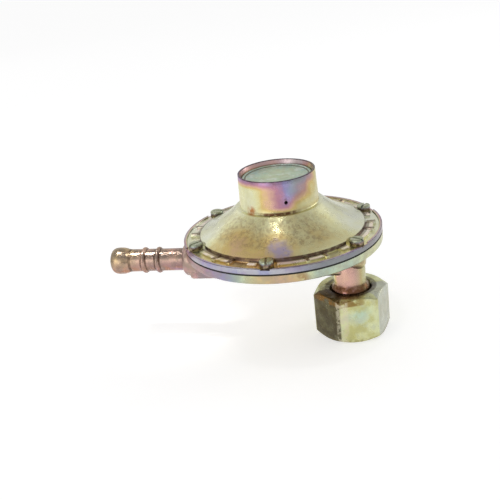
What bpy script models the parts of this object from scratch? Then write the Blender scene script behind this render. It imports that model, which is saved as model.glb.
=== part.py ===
"""Low-pressure gas regulator with a spring tower, a hose nozzle and a hexagonal union nut.

The origin is the centre of the flat pad under the body, on the axis of the spring tower.
+Z runs up the tower, the hose nozzle points along -X and the inlet nut hangs on the +X side.
"""

import math

import bmesh
import bpy
from mathutils import Matrix, Vector

MM = 0.001

# ---------------------------------------------------------------- clearances
seat_gap = 0.2 * MM  # between two pieces that rest on each other
bore_gap = 0.2 * MM  # round a piece that sits in a hole
running_gap = 0.3 * MM  # round a piece that slides or turns

# ---------------------------------------------------------------- flanges and diaphragm
disc_radius = 40.0 * MM
lower_flange_thickness = 3.2 * MM
diaphragm_thickness = 0.6 * MM
bonnet_side_height = 2.0 * MM
lip_height = 0.6 * MM
lip_width = 1.1 * MM
clamp_radius = 31.2 * MM  # inner edge of the ring that grips the diaphragm
support_thickness = 1.0 * MM  # washer under the diaphragm

# ---------------------------------------------------------------- cross tube and valve height
tube_radius = 7.0 * MM
tube_axis_z = 7.3 * MM
plunger_radius = 3.2 * MM
guide_wall = 1.7 * MM
lever_arm_thickness = 1.2 * MM
post_head = 1.9 * MM  # height of a pivot post above the pin's axis

outlet_bore_radius = plunger_radius + running_gap  # the plunger slides in it
guide_radius = outlet_bore_radius + guide_wall
pivot_z = tube_axis_z + guide_radius + running_gap + lever_arm_thickness / 2
flange_top = pivot_z + post_head + running_gap + support_thickness
flange_bottom = flange_top - lower_flange_thickness
diaphragm_bottom = flange_top + seat_gap
diaphragm_top = diaphragm_bottom + diaphragm_thickness
bonnet_bottom = diaphragm_top + seat_gap
lip_top = bonnet_bottom + bonnet_side_height
bonnet_floor = lip_top - lip_height

# ---------------------------------------------------------------- dome and spring tower
dome_foot_radius = 33.4 * MM
dome_foot_step = 1.8 * MM
dome_wall = 2.6 * MM
dome_curve_power = 1.35
ledge_radius = 17.4 * MM
ledge_height = 11.4 * MM  # above the lip
tower_height = 24.7 * MM  # above the lip
tower_top_radius = 15.3 * MM
tower_foot_radius = 15.8 * MM
tower_rim_width = 1.3 * MM
tower_bore_radius = 12.8 * MM
cap_recess_depth = 2.1 * MM
cap_thickness = 0.8 * MM
vent_hole_radius = 0.7 * MM
vent_hole_angle = -69.5
vent_hole_height = 16.1 * MM  # above the lip

ledge_z = lip_top + ledge_height
tower_top = lip_top + tower_height
cap_seat_radius = tower_top_radius - tower_rim_width
cap_top = tower_top - cap_recess_depth
cap_bottom = cap_top - cap_thickness
cap_shelf_z = cap_bottom - seat_gap

# ---------------------------------------------------------------- cover screws
screw_count = 6
first_screw_angle = 30.0
screw_edge_distance = 3.6 * MM  # from the disc's edge to a screw's axis
screw_head_radius = 2.7 * MM
screw_head_height = 2.6 * MM
screw_shank_radius = 1.75 * MM
screw_slot_width = 0.8 * MM
screw_slot_depth = 0.9 * MM
screw_tip_recess = 0.4 * MM
pocket_gap = 1.3 * MM  # round a screw head
land_half_angle = 24.0
land_height = 0.8 * MM
land_block_width = 2.0 * MM
land_block_depth = 2.6 * MM
land_block_height = 1.4 * MM

screw_circle_radius = disc_radius - screw_edge_distance
screw_hole_radius = screw_shank_radius + bore_gap
pocket_radius = screw_head_radius + pocket_gap
land_outer_radius = screw_circle_radius

# ---------------------------------------------------------------- lower body
dish_bottom = 6.0 * MM
dish_wall = 2.2 * MM
dish_floor_radius = 22.0 * MM
hub_radius = 9.0 * MM
outlet_end = -42.6 * MM  # end of the cross tube at the nozzle

chamber_floor = dish_bottom + dish_wall

# ---------------------------------------------------------------- hose nozzle
nozzle_tip = -75.5 * MM
nozzle_bore_radius = 2.5 * MM
nozzle_neck_radius = 4.7 * MM
nozzle_ring_radius = 5.5 * MM
nozzle_bulb_radius = 5.7 * MM
nozzle_tip_radius = 3.9 * MM
nozzle_root_length = 8.0 * MM
bulb_length = 9.5 * MM
ring_width = 1.7 * MM
first_ring = -60.1 * MM
second_ring = -53.9 * MM

# ---------------------------------------------------------------- inlet nipple and union nut
inlet_x = 25.8 * MM
inlet_face_z = 0.9 * MM
nipple_bore_radius = 2.6 * MM
stub_wall = 2.0 * MM
stub_shoulder = 1.85 * MM  # the nipple is this much wider than its stub
nipple_stub_length = 4.2 * MM
collar_step = 0.85 * MM
nipple_head_gap = 0.4 * MM  # round the nipple's head in the nut's bore
nipple_head_height = 5.0 * MM
nipple_head_wall = 2.0 * MM
nipple_nose_recess = 1.6 * MM
gasket_bore_step = 1.0 * MM  # the gasket's hole is this much wider than the nipple's bore
gasket_thickness = 2.0 * MM
filter_length = 6.0 * MM
filter_wall = 0.4 * MM
nut_hole_gap = 1.1 * MM  # round the nipple's collar in the nut's hole
nut_shoulder = 3.2 * MM
nut_shoulder_width = 1.6 * MM
nut_wall = 3.5 * MM  # from the thread to a flat
nut_height = 19.2 * MM
nut_top = -6.6 * MM
nut_corner_turn = 18.0
nut_chamfer = 1.6 * MM
nut_corner_rounding = 0.7 * MM

nipple_stub_radius = nipple_bore_radius + stub_wall
nipple_radius = nipple_stub_radius + stub_shoulder
nipple_collar_radius = nipple_radius + collar_step
nut_hole_radius = nipple_collar_radius + nut_hole_gap
nut_thread_radius = nut_hole_radius + nut_shoulder_width
nut_across_flats = 2 * (nut_thread_radius + nut_wall)
nipple_head_radius = nut_thread_radius - nipple_head_gap
nipple_head_top = nut_top - nut_shoulder - seat_gap
nipple_end = nipple_head_top - nipple_head_height
gasket_outer_radius = nipple_head_radius - nipple_head_wall - bore_gap
gasket_inner_radius = nipple_bore_radius + gasket_bore_step

# ---------------------------------------------------------------- valve train
valve_travel = 2.0 * MM  # rise of the diaphragm from open to shut
pivot_x = -11.0 * MM
pivot_pin_radius = 1.0 * MM
post_inner_y = 4.4 * MM
post_thickness = 2.6 * MM
post_width = 4.4 * MM
lever_arm_width = 2.4 * MM
lever_hub_radius = 1.9 * MM
lever_hub_width = 6.4 * MM
lever_foot_radius = 1.2 * MM
plunger_tail = -14.5 * MM
plunger_slot_width = 3.0 * MM
pad_radius = 2.5 * MM
pad_thickness = 1.4 * MM
jet_tip = 2.2 * MM
jet_length = 7.0 * MM
jet_nose_radius = 1.7 * MM
jet_bore_radius = 1.1 * MM
inlet_bore_radius = 2.5 * MM
bridge_face = 3.5 * MM
ring_guide_start = -7.8 * MM
ring_guide_end = -3.2 * MM

jet_radius = outlet_bore_radius - bore_gap  # it goes in through the outlet bore
lever_reach = -pivot_x
lever_drop = pivot_z - tube_axis_z
plunger_travel = valve_travel * lever_drop / lever_reach
pad_face = jet_tip - plunger_travel - 0.1 * MM

# ---------------------------------------------------------------- diaphragm stack and springs
convolution_margin_inner = 2.5 * MM  # flat rubber between the plate and the half-wave
convolution_margin_outer = 1.2 * MM  # flat rubber between the half-wave and the clamped ring
convolution_depth = 2.6 * MM
plate_radius = 19.0 * MM
plate_thickness = 1.0 * MM
plate_rim_height = 1.6 * MM
support_radius = 11.6 * MM
stem_neck_radius = 2.2 * MM
stem_head_radius = 3.6 * MM
stem_head_height = 1.0 * MM
stem_depth_x = 3.2 * MM
stem_width_y = 5.0 * MM
stem_sill = 1.0 * MM  # metal under the window that the lever goes through
stem_window_height = 2.4 * MM
stem_window_width = 3.2 * MM
spring_coil_radius = 9.4 * MM
spring_wire_radius = 0.9 * MM
spring_turns = 6.0
spring_points_per_turn = 10
seat_washer_radius = 11.6 * MM
seat_washer_bore = 5.0 * MM
seat_washer_thickness = 1.0 * MM
adjuster_height = 3.4 * MM
adjuster_depth = 0.9 * MM  # below the cap's shelf, room to screw it out
adjuster_socket_flats = 10.0 * MM

convolution_inner = plate_radius + convolution_margin_inner
convolution_outer = clamp_radius - convolution_margin_outer
plate_bottom = diaphragm_top + seat_gap
plate_top = plate_bottom + plate_thickness
support_top = diaphragm_bottom - seat_gap
support_bottom = support_top - support_thickness
stem_bottom = pivot_z - stem_window_height / 2 - stem_sill
adjuster_top = cap_shelf_z - adjuster_depth
adjuster_bottom = adjuster_top - adjuster_height
seat_washer_top = adjuster_bottom - seat_gap
seat_washer_bottom = seat_washer_top - seat_washer_thickness
spring_bottom = plate_top + seat_gap
spring_top = seat_washer_bottom - seat_gap

# ---------------------------------------------------------------- facets
round_steps = 56
hidden_steps = 32
small_steps = 24
tiny_steps = 16
overshoot = 1.0 * MM  # how far a cutter runs past the face that it cuts
merge_distance = 0.00001
sharp_angle = math.radians(32)


def clear_scene():
    for obj in list(bpy.data.objects):
        bpy.data.objects.remove(obj, do_unlink=True)


def new_collection(name, hidden=False):
    collection = bpy.data.collections.new(name)
    bpy.context.scene.collection.children.link(collection)
    collection.hide_render = hidden
    return collection


clear_scene()
parts = new_collection("gas_regulator")
cutters = new_collection("cutters", hidden=True)


def make_material(name, color, roughness, metallic):
    material = bpy.data.materials.new(name)
    material.use_nodes = True
    shader = material.node_tree.nodes["Principled BSDF"]
    shader.inputs["Base Color"].default_value = (*color, 1.0)
    shader.inputs["Roughness"].default_value = roughness
    shader.inputs["Metallic"].default_value = metallic
    material.diffuse_color = (*color, 1.0)
    return material


# ---------------------------------------------------------------- shape helpers
def add_object(name, data, collection=parts):
    obj = bpy.data.objects.new(name, data)
    collection.objects.link(obj)
    if collection is cutters:
        obj.hide_render = True
        obj.display_type = "WIRE"
    return obj


def turned(name, profile, steps=small_steps, closed=False, collection=parts):
    """A solid of revolution round Z: the profile of (radius, height) runs down its outer side."""
    shape = bmesh.new()
    points = [shape.verts.new((radius, 0.0, height)) for radius, height in profile]
    for first, second in zip(points, points[1:]):
        shape.edges.new((first, second))
    if closed:
        shape.edges.new((points[-1], points[0]))
    mesh = bpy.data.meshes.new(name)
    shape.to_mesh(mesh)
    shape.free()
    obj = add_object(name, mesh, collection)
    screw = obj.modifiers.new("turn", "SCREW")
    screw.axis = "Z"
    screw.steps = steps
    screw.render_steps = steps
    screw.use_merge_vertices = True
    screw.merge_threshold = merge_distance
    screw.use_smooth_shade = True
    return obj


def ring(name, outer, inner, low, high, steps=small_steps, collection=parts):
    profile = [(outer, high), (outer, low), (inner, low), (inner, high)]
    return turned(name, profile, steps, closed=True, collection=collection)


def rod(name, radius, low, high, steps=small_steps, collection=cutters):
    """A plain round rod along Z."""
    return rods(name, radius, low, high, [(0.0, 0.0)], steps, collection)


def rods(name, radius, low, high, centres, steps=small_steps, collection=cutters):
    """Equal round rods along Z at the given (x, y) centres, as one mesh."""
    shape = bmesh.new()
    for x, y in centres:
        bmesh.ops.create_cone(
            shape,
            cap_ends=True,
            segments=steps,
            radius1=radius,
            radius2=radius,
            depth=high - low,
            matrix=Matrix.Translation((x, y, (low + high) / 2)),
        )
    mesh = bpy.data.meshes.new(name)
    shape.to_mesh(mesh)
    shape.free()
    return add_object(name, mesh, collection)


def boxes(name, size, places, collection=cutters):
    """Equal boxes, each at a (centre, turn about Z) place, as one mesh."""
    shape = bmesh.new()
    for centre, turn in places:
        matrix = Matrix.Translation(centre) @ Matrix.Rotation(turn, 4, "Z") @ Matrix.Diagonal((*size, 1.0))
        bmesh.ops.create_cube(shape, size=1.0, matrix=matrix)
    mesh = bpy.data.meshes.new(name)
    shape.to_mesh(mesh)
    shape.free()
    return add_object(name, mesh, collection)


def outline_plate(name, outlines, thickness, collection=parts):
    """Flat plates in XY, half the thickness on each side of Z = 0, from closed outlines of (x, y)."""
    curve = bpy.data.curves.new(name, "CURVE")
    curve.dimensions = "2D"
    curve.fill_mode = "BOTH"
    curve.extrude = thickness / 2
    for outline in outlines:
        spline = curve.splines.new("POLY")
        spline.points.add(len(outline) - 1)
        for point, (x, y) in zip(spline.points, outline):
            point.co = (x, y, 0.0, 1.0)
        spline.use_cyclic_u = True
    drawn = bpy.data.objects.new(name + "_outline", curve)
    parts.objects.link(drawn)
    mesh = mesh_of(drawn)
    bpy.data.objects.remove(drawn, do_unlink=True)
    return add_object(name, mesh, collection)


def mesh_of(obj):
    """The object's evaluated mesh, with its loose caps welded on."""
    bpy.context.view_layer.update()
    mesh = bpy.data.meshes.new_from_object(obj.evaluated_get(bpy.context.evaluated_depsgraph_get()))
    shape = bmesh.new()
    shape.from_mesh(mesh)
    bmesh.ops.remove_doubles(shape, verts=shape.verts, dist=merge_distance)
    bmesh.ops.recalc_face_normals(shape, faces=shape.faces)
    shape.to_mesh(mesh)
    shape.free()
    return mesh


def boolean(obj, other, operation):
    modifier = obj.modifiers.new(operation.lower(), "BOOLEAN")
    modifier.operation = operation
    modifier.solver = "EXACT"
    modifier.object = other
    return modifier


def cut(obj, *others):
    for other in others:
        boolean(obj, other, "DIFFERENCE")


def join(obj, *others):
    for other in others:
        boolean(obj, other, "UNION")


def along_x(obj, centre_z=tube_axis_z):
    """Lays a piece made along Z on the cross tube's axis, so that its height runs along +X."""
    obj.rotation_euler = (0.0, math.radians(90), 0.0)
    obj.location = (0.0, 0.0, centre_z)
    return obj


def circle_points(radius, count, first_angle):
    step = 2 * math.pi / count
    start = math.radians(first_angle)
    return [(radius * math.cos(start + step * k), radius * math.sin(start + step * k)) for k in range(count)]


def arc(centre, radius, start, end, count):
    """Points on an arc in a plane, from one angle to another, in degrees."""
    angles = [math.radians(start + (end - start) * k / count) for k in range(count + 1)]
    return [(centre[0] + radius * math.cos(a), centre[1] + radius * math.sin(a)) for a in angles]


def dress(obj, material):
    obj.data.materials.clear()
    obj.data.materials.append(material)
    return obj


# ---------------------------------------------------------------- materials
body_zinc = make_material("yellow_zinc_body", (0.60, 0.58, 0.40), 0.32, 0.85)
bonnet_zinc = make_material("yellow_zinc_bonnet", (0.66, 0.62, 0.36), 0.30, 0.85)
screw_steel = make_material("screw_steel", (0.42, 0.44, 0.36), 0.34, 0.9)
nozzle_metal = make_material("nozzle_metal", (0.62, 0.50, 0.44), 0.28, 0.9)
nipple_metal = make_material("nipple_metal", (0.70, 0.58, 0.58), 0.26, 0.9)
nut_metal = make_material("nut_metal", (0.50, 0.48, 0.28), 0.36, 0.9)
cap_metal = make_material("cap_metal", (0.66, 0.70, 0.58), 0.42, 0.6)
rubber = make_material("black_rubber", (0.03, 0.03, 0.03), 0.75, 0.0)
spring_steel = make_material("spring_steel", (0.45, 0.45, 0.44), 0.35, 1.0)
plated_steel = make_material("plated_steel", (0.62, 0.62, 0.60), 0.32, 1.0)
brass = make_material("brass", (0.72, 0.55, 0.26), 0.30, 1.0)
plastic = make_material("white_plastic", (0.80, 0.79, 0.74), 0.50, 0.0)
gauze = make_material("filter_gauze", (0.55, 0.50, 0.38), 0.50, 1.0)


# ---------------------------------------------------------------- bonnet
def dome_height(radius):
    """Outer height of the dome, which falls in a hollow curve from the ledge to its foot."""
    foot = bonnet_floor + dome_foot_step
    share = (dome_foot_radius - radius) / (dome_foot_radius - ledge_radius)
    return foot + (ledge_z - foot) * max(share, 0.0) ** dome_curve_power


def make_bonnet():
    lip_inner = disc_radius - lip_width
    rim_break = 0.25 * MM
    root_depth = 0.5 * MM
    outer_radii = [ledge_radius + (dome_foot_radius - ledge_radius) * k / 6 for k in range(7)]
    inner_radii = [clamp_radius - 0.7 * MM - (clamp_radius - ledge_radius) * k / 3 for k in range(4)]
    profile = [
        (tower_top_radius - rim_break, tower_top),
        (tower_top_radius, tower_top - rim_break),
        (tower_foot_radius, ledge_z + root_depth),
        (tower_foot_radius + 0.1 * MM, ledge_z + 0.1 * MM),
        (ledge_radius - 0.5 * MM, ledge_z + 0.05 * MM),
    ]
    profile += [(radius, dome_height(radius)) for radius in outer_radii]
    profile += [
        (dome_foot_radius + 0.1 * MM, bonnet_floor),
        (lip_inner - 0.3 * MM, bonnet_floor),
        (lip_inner, lip_top - 0.15 * MM),
        (lip_inner + 0.25 * MM, lip_top),
        (disc_radius - 0.35 * MM, lip_top),
        (disc_radius, lip_top - 0.4 * MM),
        (disc_radius, bonnet_bottom + 0.15 * MM),
        (disc_radius - 0.2 * MM, bonnet_bottom),
        (clamp_radius, bonnet_bottom),
    ]
    profile += [(radius, dome_height(radius) - dome_wall) for radius in inner_radii]
    profile += [
        (tower_bore_radius, ledge_z - dome_wall / 2),
        (tower_bore_radius, cap_shelf_z),
        (cap_seat_radius, cap_shelf_z),
        (cap_seat_radius, tower_top - rim_break),
        (cap_seat_radius + rim_break, tower_top),
    ]
    bonnet = turned("bonnet", profile, round_steps, closed=True)

    screw_places = circle_points(screw_circle_radius, screw_count, first_screw_angle)
    angles = [first_screw_angle + 360 / screw_count * k for k in range(screw_count)]
    land_inner = dome_foot_radius - 1.0 * MM
    sectors = []
    for angle in angles:
        low, high = angle - land_half_angle, angle + land_half_angle
        outer = arc((0, 0), land_outer_radius, low, high, 10)
        inner = arc((0, 0), land_inner, high, low, 10)
        sectors.append(outer + inner)
    land_foot = 0.4 * MM
    lands = outline_plate("lands", sectors, land_height + land_foot, cutters)
    lands.location.z = bonnet_floor + (land_height - land_foot) / 2

    block_radius = land_outer_radius - land_block_depth / 2 + 0.5 * MM
    block_places = []
    for angle in angles:
        for side in (-1, 1):
            turn = math.radians(angle + side * land_half_angle)
            centre_z = bonnet_floor + (land_block_height - land_foot) / 2
            centre = (block_radius * math.cos(turn), block_radius * math.sin(turn), centre_z)
            block_places.append((centre, turn))
    block_size = (land_block_depth, land_block_width, land_block_height + land_foot)
    blocks = boxes("land_blocks", block_size, block_places)
    join(bonnet, lands, blocks)

    pockets = rods("screw_pockets", pocket_radius, bonnet_floor, ledge_z, screw_places, small_steps)
    holes = rods("bonnet_screw_holes", screw_hole_radius, bonnet_bottom - overshoot,
                 bonnet_floor + overshoot, screw_places, tiny_steps)
    cut(bonnet, pockets, holes)

    vent = rod("vent_hole", vent_hole_radius, tower_bore_radius - overshoot,
               tower_foot_radius + overshoot, 12)
    turn = math.radians(vent_hole_angle)
    vent.matrix_world = (
        Matrix.Translation((0, 0, lip_top + vent_hole_height))
        @ Matrix.Rotation(turn, 4, "Z")
        @ Matrix.Rotation(math.radians(90), 4, "Y")
    )
    cut(bonnet, vent)
    return dress(bonnet, bonnet_zinc)


def make_cap():
    radius = cap_seat_radius - bore_gap
    rim = 0.3 * MM
    profile = [
        (0.0, cap_top),
        (radius - rim, cap_top),
        (radius, cap_top - rim),
        (radius, cap_bottom),
        (0.0, cap_bottom),
    ]
    return dress(turned("seal_cap", profile, round_steps), cap_metal)


def make_cover_screws():
    head_bottom = bonnet_floor + seat_gap
    head_top = head_bottom + screw_head_height
    edge = 0.4 * MM
    slot_size = (2 * screw_head_radius + overshoot, screw_slot_width, 2 * screw_slot_depth)
    profile = [
        (0.0, head_top),
        (screw_head_radius - edge, head_top),
        (screw_head_radius, head_top - edge),
        (screw_head_radius, head_bottom),
        (screw_shank_radius, head_bottom),
        (screw_shank_radius, flange_bottom + screw_tip_recess + edge),
        (screw_shank_radius - edge, flange_bottom + screw_tip_recess),
        (0.0, flange_bottom + screw_tip_recess),
    ]
    places = circle_points(screw_circle_radius, screw_count, first_screw_angle)
    for number, (x, y) in enumerate(places, start=1):
        screw = turned(f"cover_screw_{number}", profile, tiny_steps)
        screw.location = (x, y, 0.0)
        slot_turn = math.radians(50.0 * number)
        slot = boxes(f"slot_cutter_{number}", slot_size, [((x, y, head_top), slot_turn)])
        cut(screw, slot)
        dress(screw, screw_steel)


# ---------------------------------------------------------------- lower body
def make_lower_body():
    edge = 0.5 * MM
    profile = [
        (0.0, flange_top),
        (disc_radius - 0.2 * MM, flange_top),
        (disc_radius, flange_top - 0.2 * MM),
        (disc_radius, flange_bottom + edge),
        (disc_radius - edge, flange_bottom),
        (disc_radius - 3.5 * MM, flange_bottom - 0.5 * MM),
        (clamp_radius + 1.0 * MM, flange_bottom - 2.0 * MM),
        (dish_floor_radius + 3.5 * MM, dish_bottom + 1.2 * MM),
        (dish_floor_radius, dish_bottom),
        (0.0, dish_bottom),
    ]
    body = turned("lower_body", profile, round_steps)

    tube_end = inlet_x + tube_radius
    tube_edge = 0.8 * MM
    tube = turned("cross_tube", [
        (0.0, tube_end),
        (tube_radius * 0.55, tube_end),
        (tube_radius * 0.88, tube_end - tube_radius * 0.25),
        (tube_radius, tube_end - tube_radius * 0.6),
        (tube_radius, outlet_end + tube_edge),
        (tube_radius - tube_edge, outlet_end),
        (0.0, outlet_end),
    ], small_steps, collection=cutters)
    along_x(tube)
    hub = turned("hub", [
        (0.0, dish_bottom + edge),
        (hub_radius + 1.0 * MM, dish_bottom + edge),
        (hub_radius, edge),
        (hub_radius - edge, 0.0),
        (0.0, 0.0),
    ], small_steps, collection=cutters)
    boolean(body, tube, "UNION").solver = "MANIFOLD"  # the exact solver leaves a skin across the bore
    join(body, hub)

    inner = clamp_radius - 0.4 * MM
    chamber = turned("chamber", [
        (0.0, flange_top + overshoot),
        (inner, flange_top + overshoot),
        (inner - 0.8 * MM, flange_bottom - 0.6 * MM),
        (dish_floor_radius + 1.5 * MM, chamber_floor + 1.0 * MM),
        (dish_floor_radius - 1.5 * MM, chamber_floor),
        (0.0, chamber_floor),
    ], small_steps, collection=cutters)
    cut(body, chamber)

    inlet_ridge = along_x(rod("inlet_ridge", guide_radius, bridge_face, inlet_x + edge))
    ring_guide = along_x(rod("ring_guide", guide_radius, ring_guide_start, ring_guide_end))
    post_height = pivot_z + post_head - chamber_floor + edge
    post_centre_z = chamber_floor - edge + post_height / 2
    post_y = post_inner_y + post_thickness / 2
    posts = boxes("pivot_posts", (post_width, post_thickness, post_height), [
        ((pivot_x, side * post_y, post_centre_z), 0.0) for side in (-1, 1)
    ])
    join(body, inlet_ridge, ring_guide, posts)

    jet_end = jet_tip + jet_length + seat_gap
    nozzle_seat_end = outlet_end + nozzle_root_length + seat_gap
    stepped_bore = along_x(turned("stepped_bore", [
        (0.0, inlet_x),
        (inlet_bore_radius, inlet_x),
        (inlet_bore_radius, jet_end),
        (outlet_bore_radius, jet_end),
        (outlet_bore_radius, nozzle_seat_end),
        (nozzle_neck_radius + bore_gap, nozzle_seat_end),
        (nozzle_neck_radius + bore_gap, outlet_end - overshoot),
        (0.0, outlet_end - overshoot),
    ], small_steps, collection=cutters))
    pin_holes = rod("pin_holes", pivot_pin_radius + bore_gap,
                    -post_y - post_thickness, post_y + post_thickness, 16)
    pin_holes.rotation_euler.x = math.radians(90)
    pin_holes.location = (pivot_x, 0.0, pivot_z)
    cut(body, stepped_bore, pin_holes)

    nipple_face = rods("nipple_face", nipple_radius + 0.5 * MM, -tube_radius, inlet_face_z, [(inlet_x, 0.0)])
    stub_hole = rods("stub_hole", nipple_stub_radius + bore_gap, -tube_radius,
                     inlet_face_z + nipple_stub_length + seat_gap, [(inlet_x, 0.0)])
    riser = rods("riser", nipple_bore_radius, -tube_radius, tube_axis_z + edge, [(inlet_x, 0.0)], tiny_steps)
    screw_holes = rods("body_screw_holes", screw_hole_radius, flange_bottom - 3 * MM,
                       flange_top + overshoot,
                       circle_points(screw_circle_radius, screw_count, first_screw_angle), tiny_steps)
    cut(body, nipple_face, stub_hole, riser, screw_holes)
    return dress(body, body_zinc)


# ---------------------------------------------------------------- hose nozzle
def make_hose_nozzle():
    """Turned along Z with the tip up, then laid so that the tip points along -X."""
    tip = -nozzle_tip
    root = -outlet_end - nozzle_root_length
    edge = 0.3 * MM
    bulb_base = tip - bulb_length
    profile = [
        (nozzle_bore_radius + edge, tip),
        (nozzle_tip_radius, tip),
        (nozzle_tip_radius + 1.0 * MM, tip - 0.9 * MM),
        (nozzle_bulb_radius - 0.25 * MM, tip - 2.5 * MM),
        (nozzle_bulb_radius, tip - 4.3 * MM),
        (nozzle_bulb_radius - 0.15 * MM, tip - 6.2 * MM),
        (nozzle_neck_radius + 0.25 * MM, bulb_base + 1.4 * MM),
        (nozzle_neck_radius, bulb_base),
    ]
    for centre in (-first_ring, -second_ring):
        half = ring_width / 2
        profile += [
            (nozzle_neck_radius, centre + half + 0.3 * MM),
            (nozzle_ring_radius - 0.2 * MM, centre + half * 0.5),
            (nozzle_ring_radius, centre),
            (nozzle_ring_radius - 0.2 * MM, centre - half * 0.5),
            (nozzle_neck_radius, centre - half - 0.3 * MM),
        ]
    profile += [
        (nozzle_neck_radius, root + edge),
        (nozzle_neck_radius - edge, root),
        (nozzle_bore_radius, root),
        (nozzle_bore_radius, tip - edge),
    ]
    nozzle = turned("hose_nozzle", profile, small_steps, closed=True)
    nozzle.rotation_euler = (0.0, math.radians(-90), 0.0)
    nozzle.location = (0.0, 0.0, tube_axis_z)
    return dress(nozzle, nozzle_metal)


# ---------------------------------------------------------------- inlet
def make_nipple():
    top = inlet_face_z + nipple_stub_length - seat_gap
    shoulder = inlet_face_z - seat_gap
    edge = 0.4 * MM
    seat_radius = gasket_outer_radius + bore_gap
    profile = [
        (nipple_stub_radius - edge, top),
        (nipple_stub_radius, top - edge),
        (nipple_stub_radius, shoulder),
        (nipple_radius - edge, shoulder),
        (nipple_radius, shoulder - edge),
        (nipple_radius, nut_top + 2.4 * MM),
        (nipple_collar_radius - 0.1 * MM, nut_top + 1.0 * MM),
        (nipple_collar_radius, nut_top - 0.4 * MM),
        (nipple_collar_radius, nipple_head_top),
        (nipple_head_radius - edge, nipple_head_top),
        (nipple_head_radius, nipple_head_top - edge),
        (nipple_head_radius, nipple_end + edge),
        (nipple_head_radius - edge, nipple_end),
        (seat_radius, nipple_end),
        (seat_radius, nipple_end + nipple_nose_recess),
        (nipple_bore_radius + filter_wall + bore_gap, nipple_end + nipple_nose_recess),
        (nipple_bore_radius + filter_wall + bore_gap, nipple_end + nipple_nose_recess + filter_length),
        (nipple_bore_radius, nipple_end + nipple_nose_recess + filter_length + 0.5 * MM),
        (nipple_bore_radius, top),
    ]
    nipple = turned("inlet_nipple", profile, small_steps, closed=True)
    nipple.location.x = inlet_x
    dress(nipple, nipple_metal)

    gasket_top = nipple_end + nipple_nose_recess - seat_gap
    gasket = ring("inlet_gasket", gasket_outer_radius, gasket_inner_radius,
                  gasket_top - gasket_thickness, gasket_top, small_steps)
    gasket.location.x = inlet_x
    dress(gasket, rubber)

    base = nipple_end + nipple_nose_recess + seat_gap
    outer = nipple_bore_radius + filter_wall
    thimble = turned("inlet_filter", [
        (0.0, base + filter_length - 3 * seat_gap),
        (outer - 2 * filter_wall, base + filter_length - 3 * seat_gap),
        (outer, base + filter_length - 3 * seat_gap - 2 * filter_wall),
        (outer, base),
        (outer - filter_wall, base),
        (outer - filter_wall, base + filter_length - 3 * seat_gap - 2 * filter_wall),
        (outer - 2 * filter_wall, base + filter_length - 3 * seat_gap - filter_wall),
        (0.0, base + filter_length - 3 * seat_gap - filter_wall),
    ], tiny_steps)
    thimble.location.x = inlet_x
    dress(thimble, gauze)


def make_union_nut():
    """A hexagon bar with a chamfer turned on both ends, a shoulder at the top and an open thread below."""
    corner_radius = nut_across_flats / math.sqrt(3)
    first_corner = math.radians(nut_corner_turn - 90.0)  # a cone starts with a corner on +Y
    shape = bmesh.new()
    bmesh.ops.create_cone(
        shape,
        cap_ends=True,
        segments=6,
        radius1=corner_radius,
        radius2=corner_radius,
        depth=nut_height,
        matrix=Matrix.Rotation(first_corner, 4, "Z"),
    )
    uprights = [edge for edge in shape.edges if abs((edge.verts[0].co - edge.verts[1].co).normalized().z) > 0.9]
    bmesh.ops.bevel(shape, geom=uprights, offset=nut_corner_rounding, segments=3, profile=0.5,
                    affect="EDGES")
    mesh = bpy.data.meshes.new("union_nut")
    shape.to_mesh(mesh)
    shape.free()
    nut = add_object("union_nut", mesh)
    nut.location = (inlet_x, 0.0, nut_top - nut_height / 2)

    half = nut_height / 2
    face_radius = nut_across_flats / 2 - 0.3 * MM
    side_radius = corner_radius + overshoot
    rise = (side_radius - face_radius) * nut_chamfer / (corner_radius - face_radius)
    ends = turned("nut_ends", [
        (0.0, half),
        (face_radius, half),
        (side_radius, half - rise),
        (side_radius, rise - half),
        (face_radius, -half),
        (0.0, -half),
    ], small_steps, collection=cutters)
    ends.location = nut.location
    ends.rotation_euler.z = math.pi / small_steps  # a facet, not a corner, faces the nozzle
    boolean(nut, ends, "INTERSECT")

    lead_in = 1.0 * MM
    bore = turned("nut_bore", [
        (0.0, half + overshoot),
        (nut_hole_radius + lead_in / 2 + overshoot / 2, half + overshoot),
        (nut_hole_radius, half - lead_in / 2),
        (nut_hole_radius, half - nut_shoulder),
        (nut_thread_radius, half - nut_shoulder),
        (nut_thread_radius, lead_in - half),
        (nut_thread_radius + lead_in + overshoot, -half - overshoot),
        (0.0, -half - overshoot),
    ], small_steps, collection=cutters)
    bore.location = nut.location
    cut(nut, bore)
    return dress(nut, nut_metal)


# ---------------------------------------------------------------- valve train
def make_jet():
    base = jet_tip + jet_length
    profile = [
        (jet_bore_radius * 1.6, base),
        (jet_radius, base),
        (jet_radius, bridge_face - 0.2 * MM),
        (jet_nose_radius + 0.5 * MM, bridge_face - 0.4 * MM),
        (jet_nose_radius, jet_tip),
        (jet_bore_radius, jet_tip),
        (jet_bore_radius, base - 1.0 * MM),
    ]
    jet = along_x(turned("valve_jet", profile, tiny_steps, closed=True))
    return dress(jet, brass)


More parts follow.
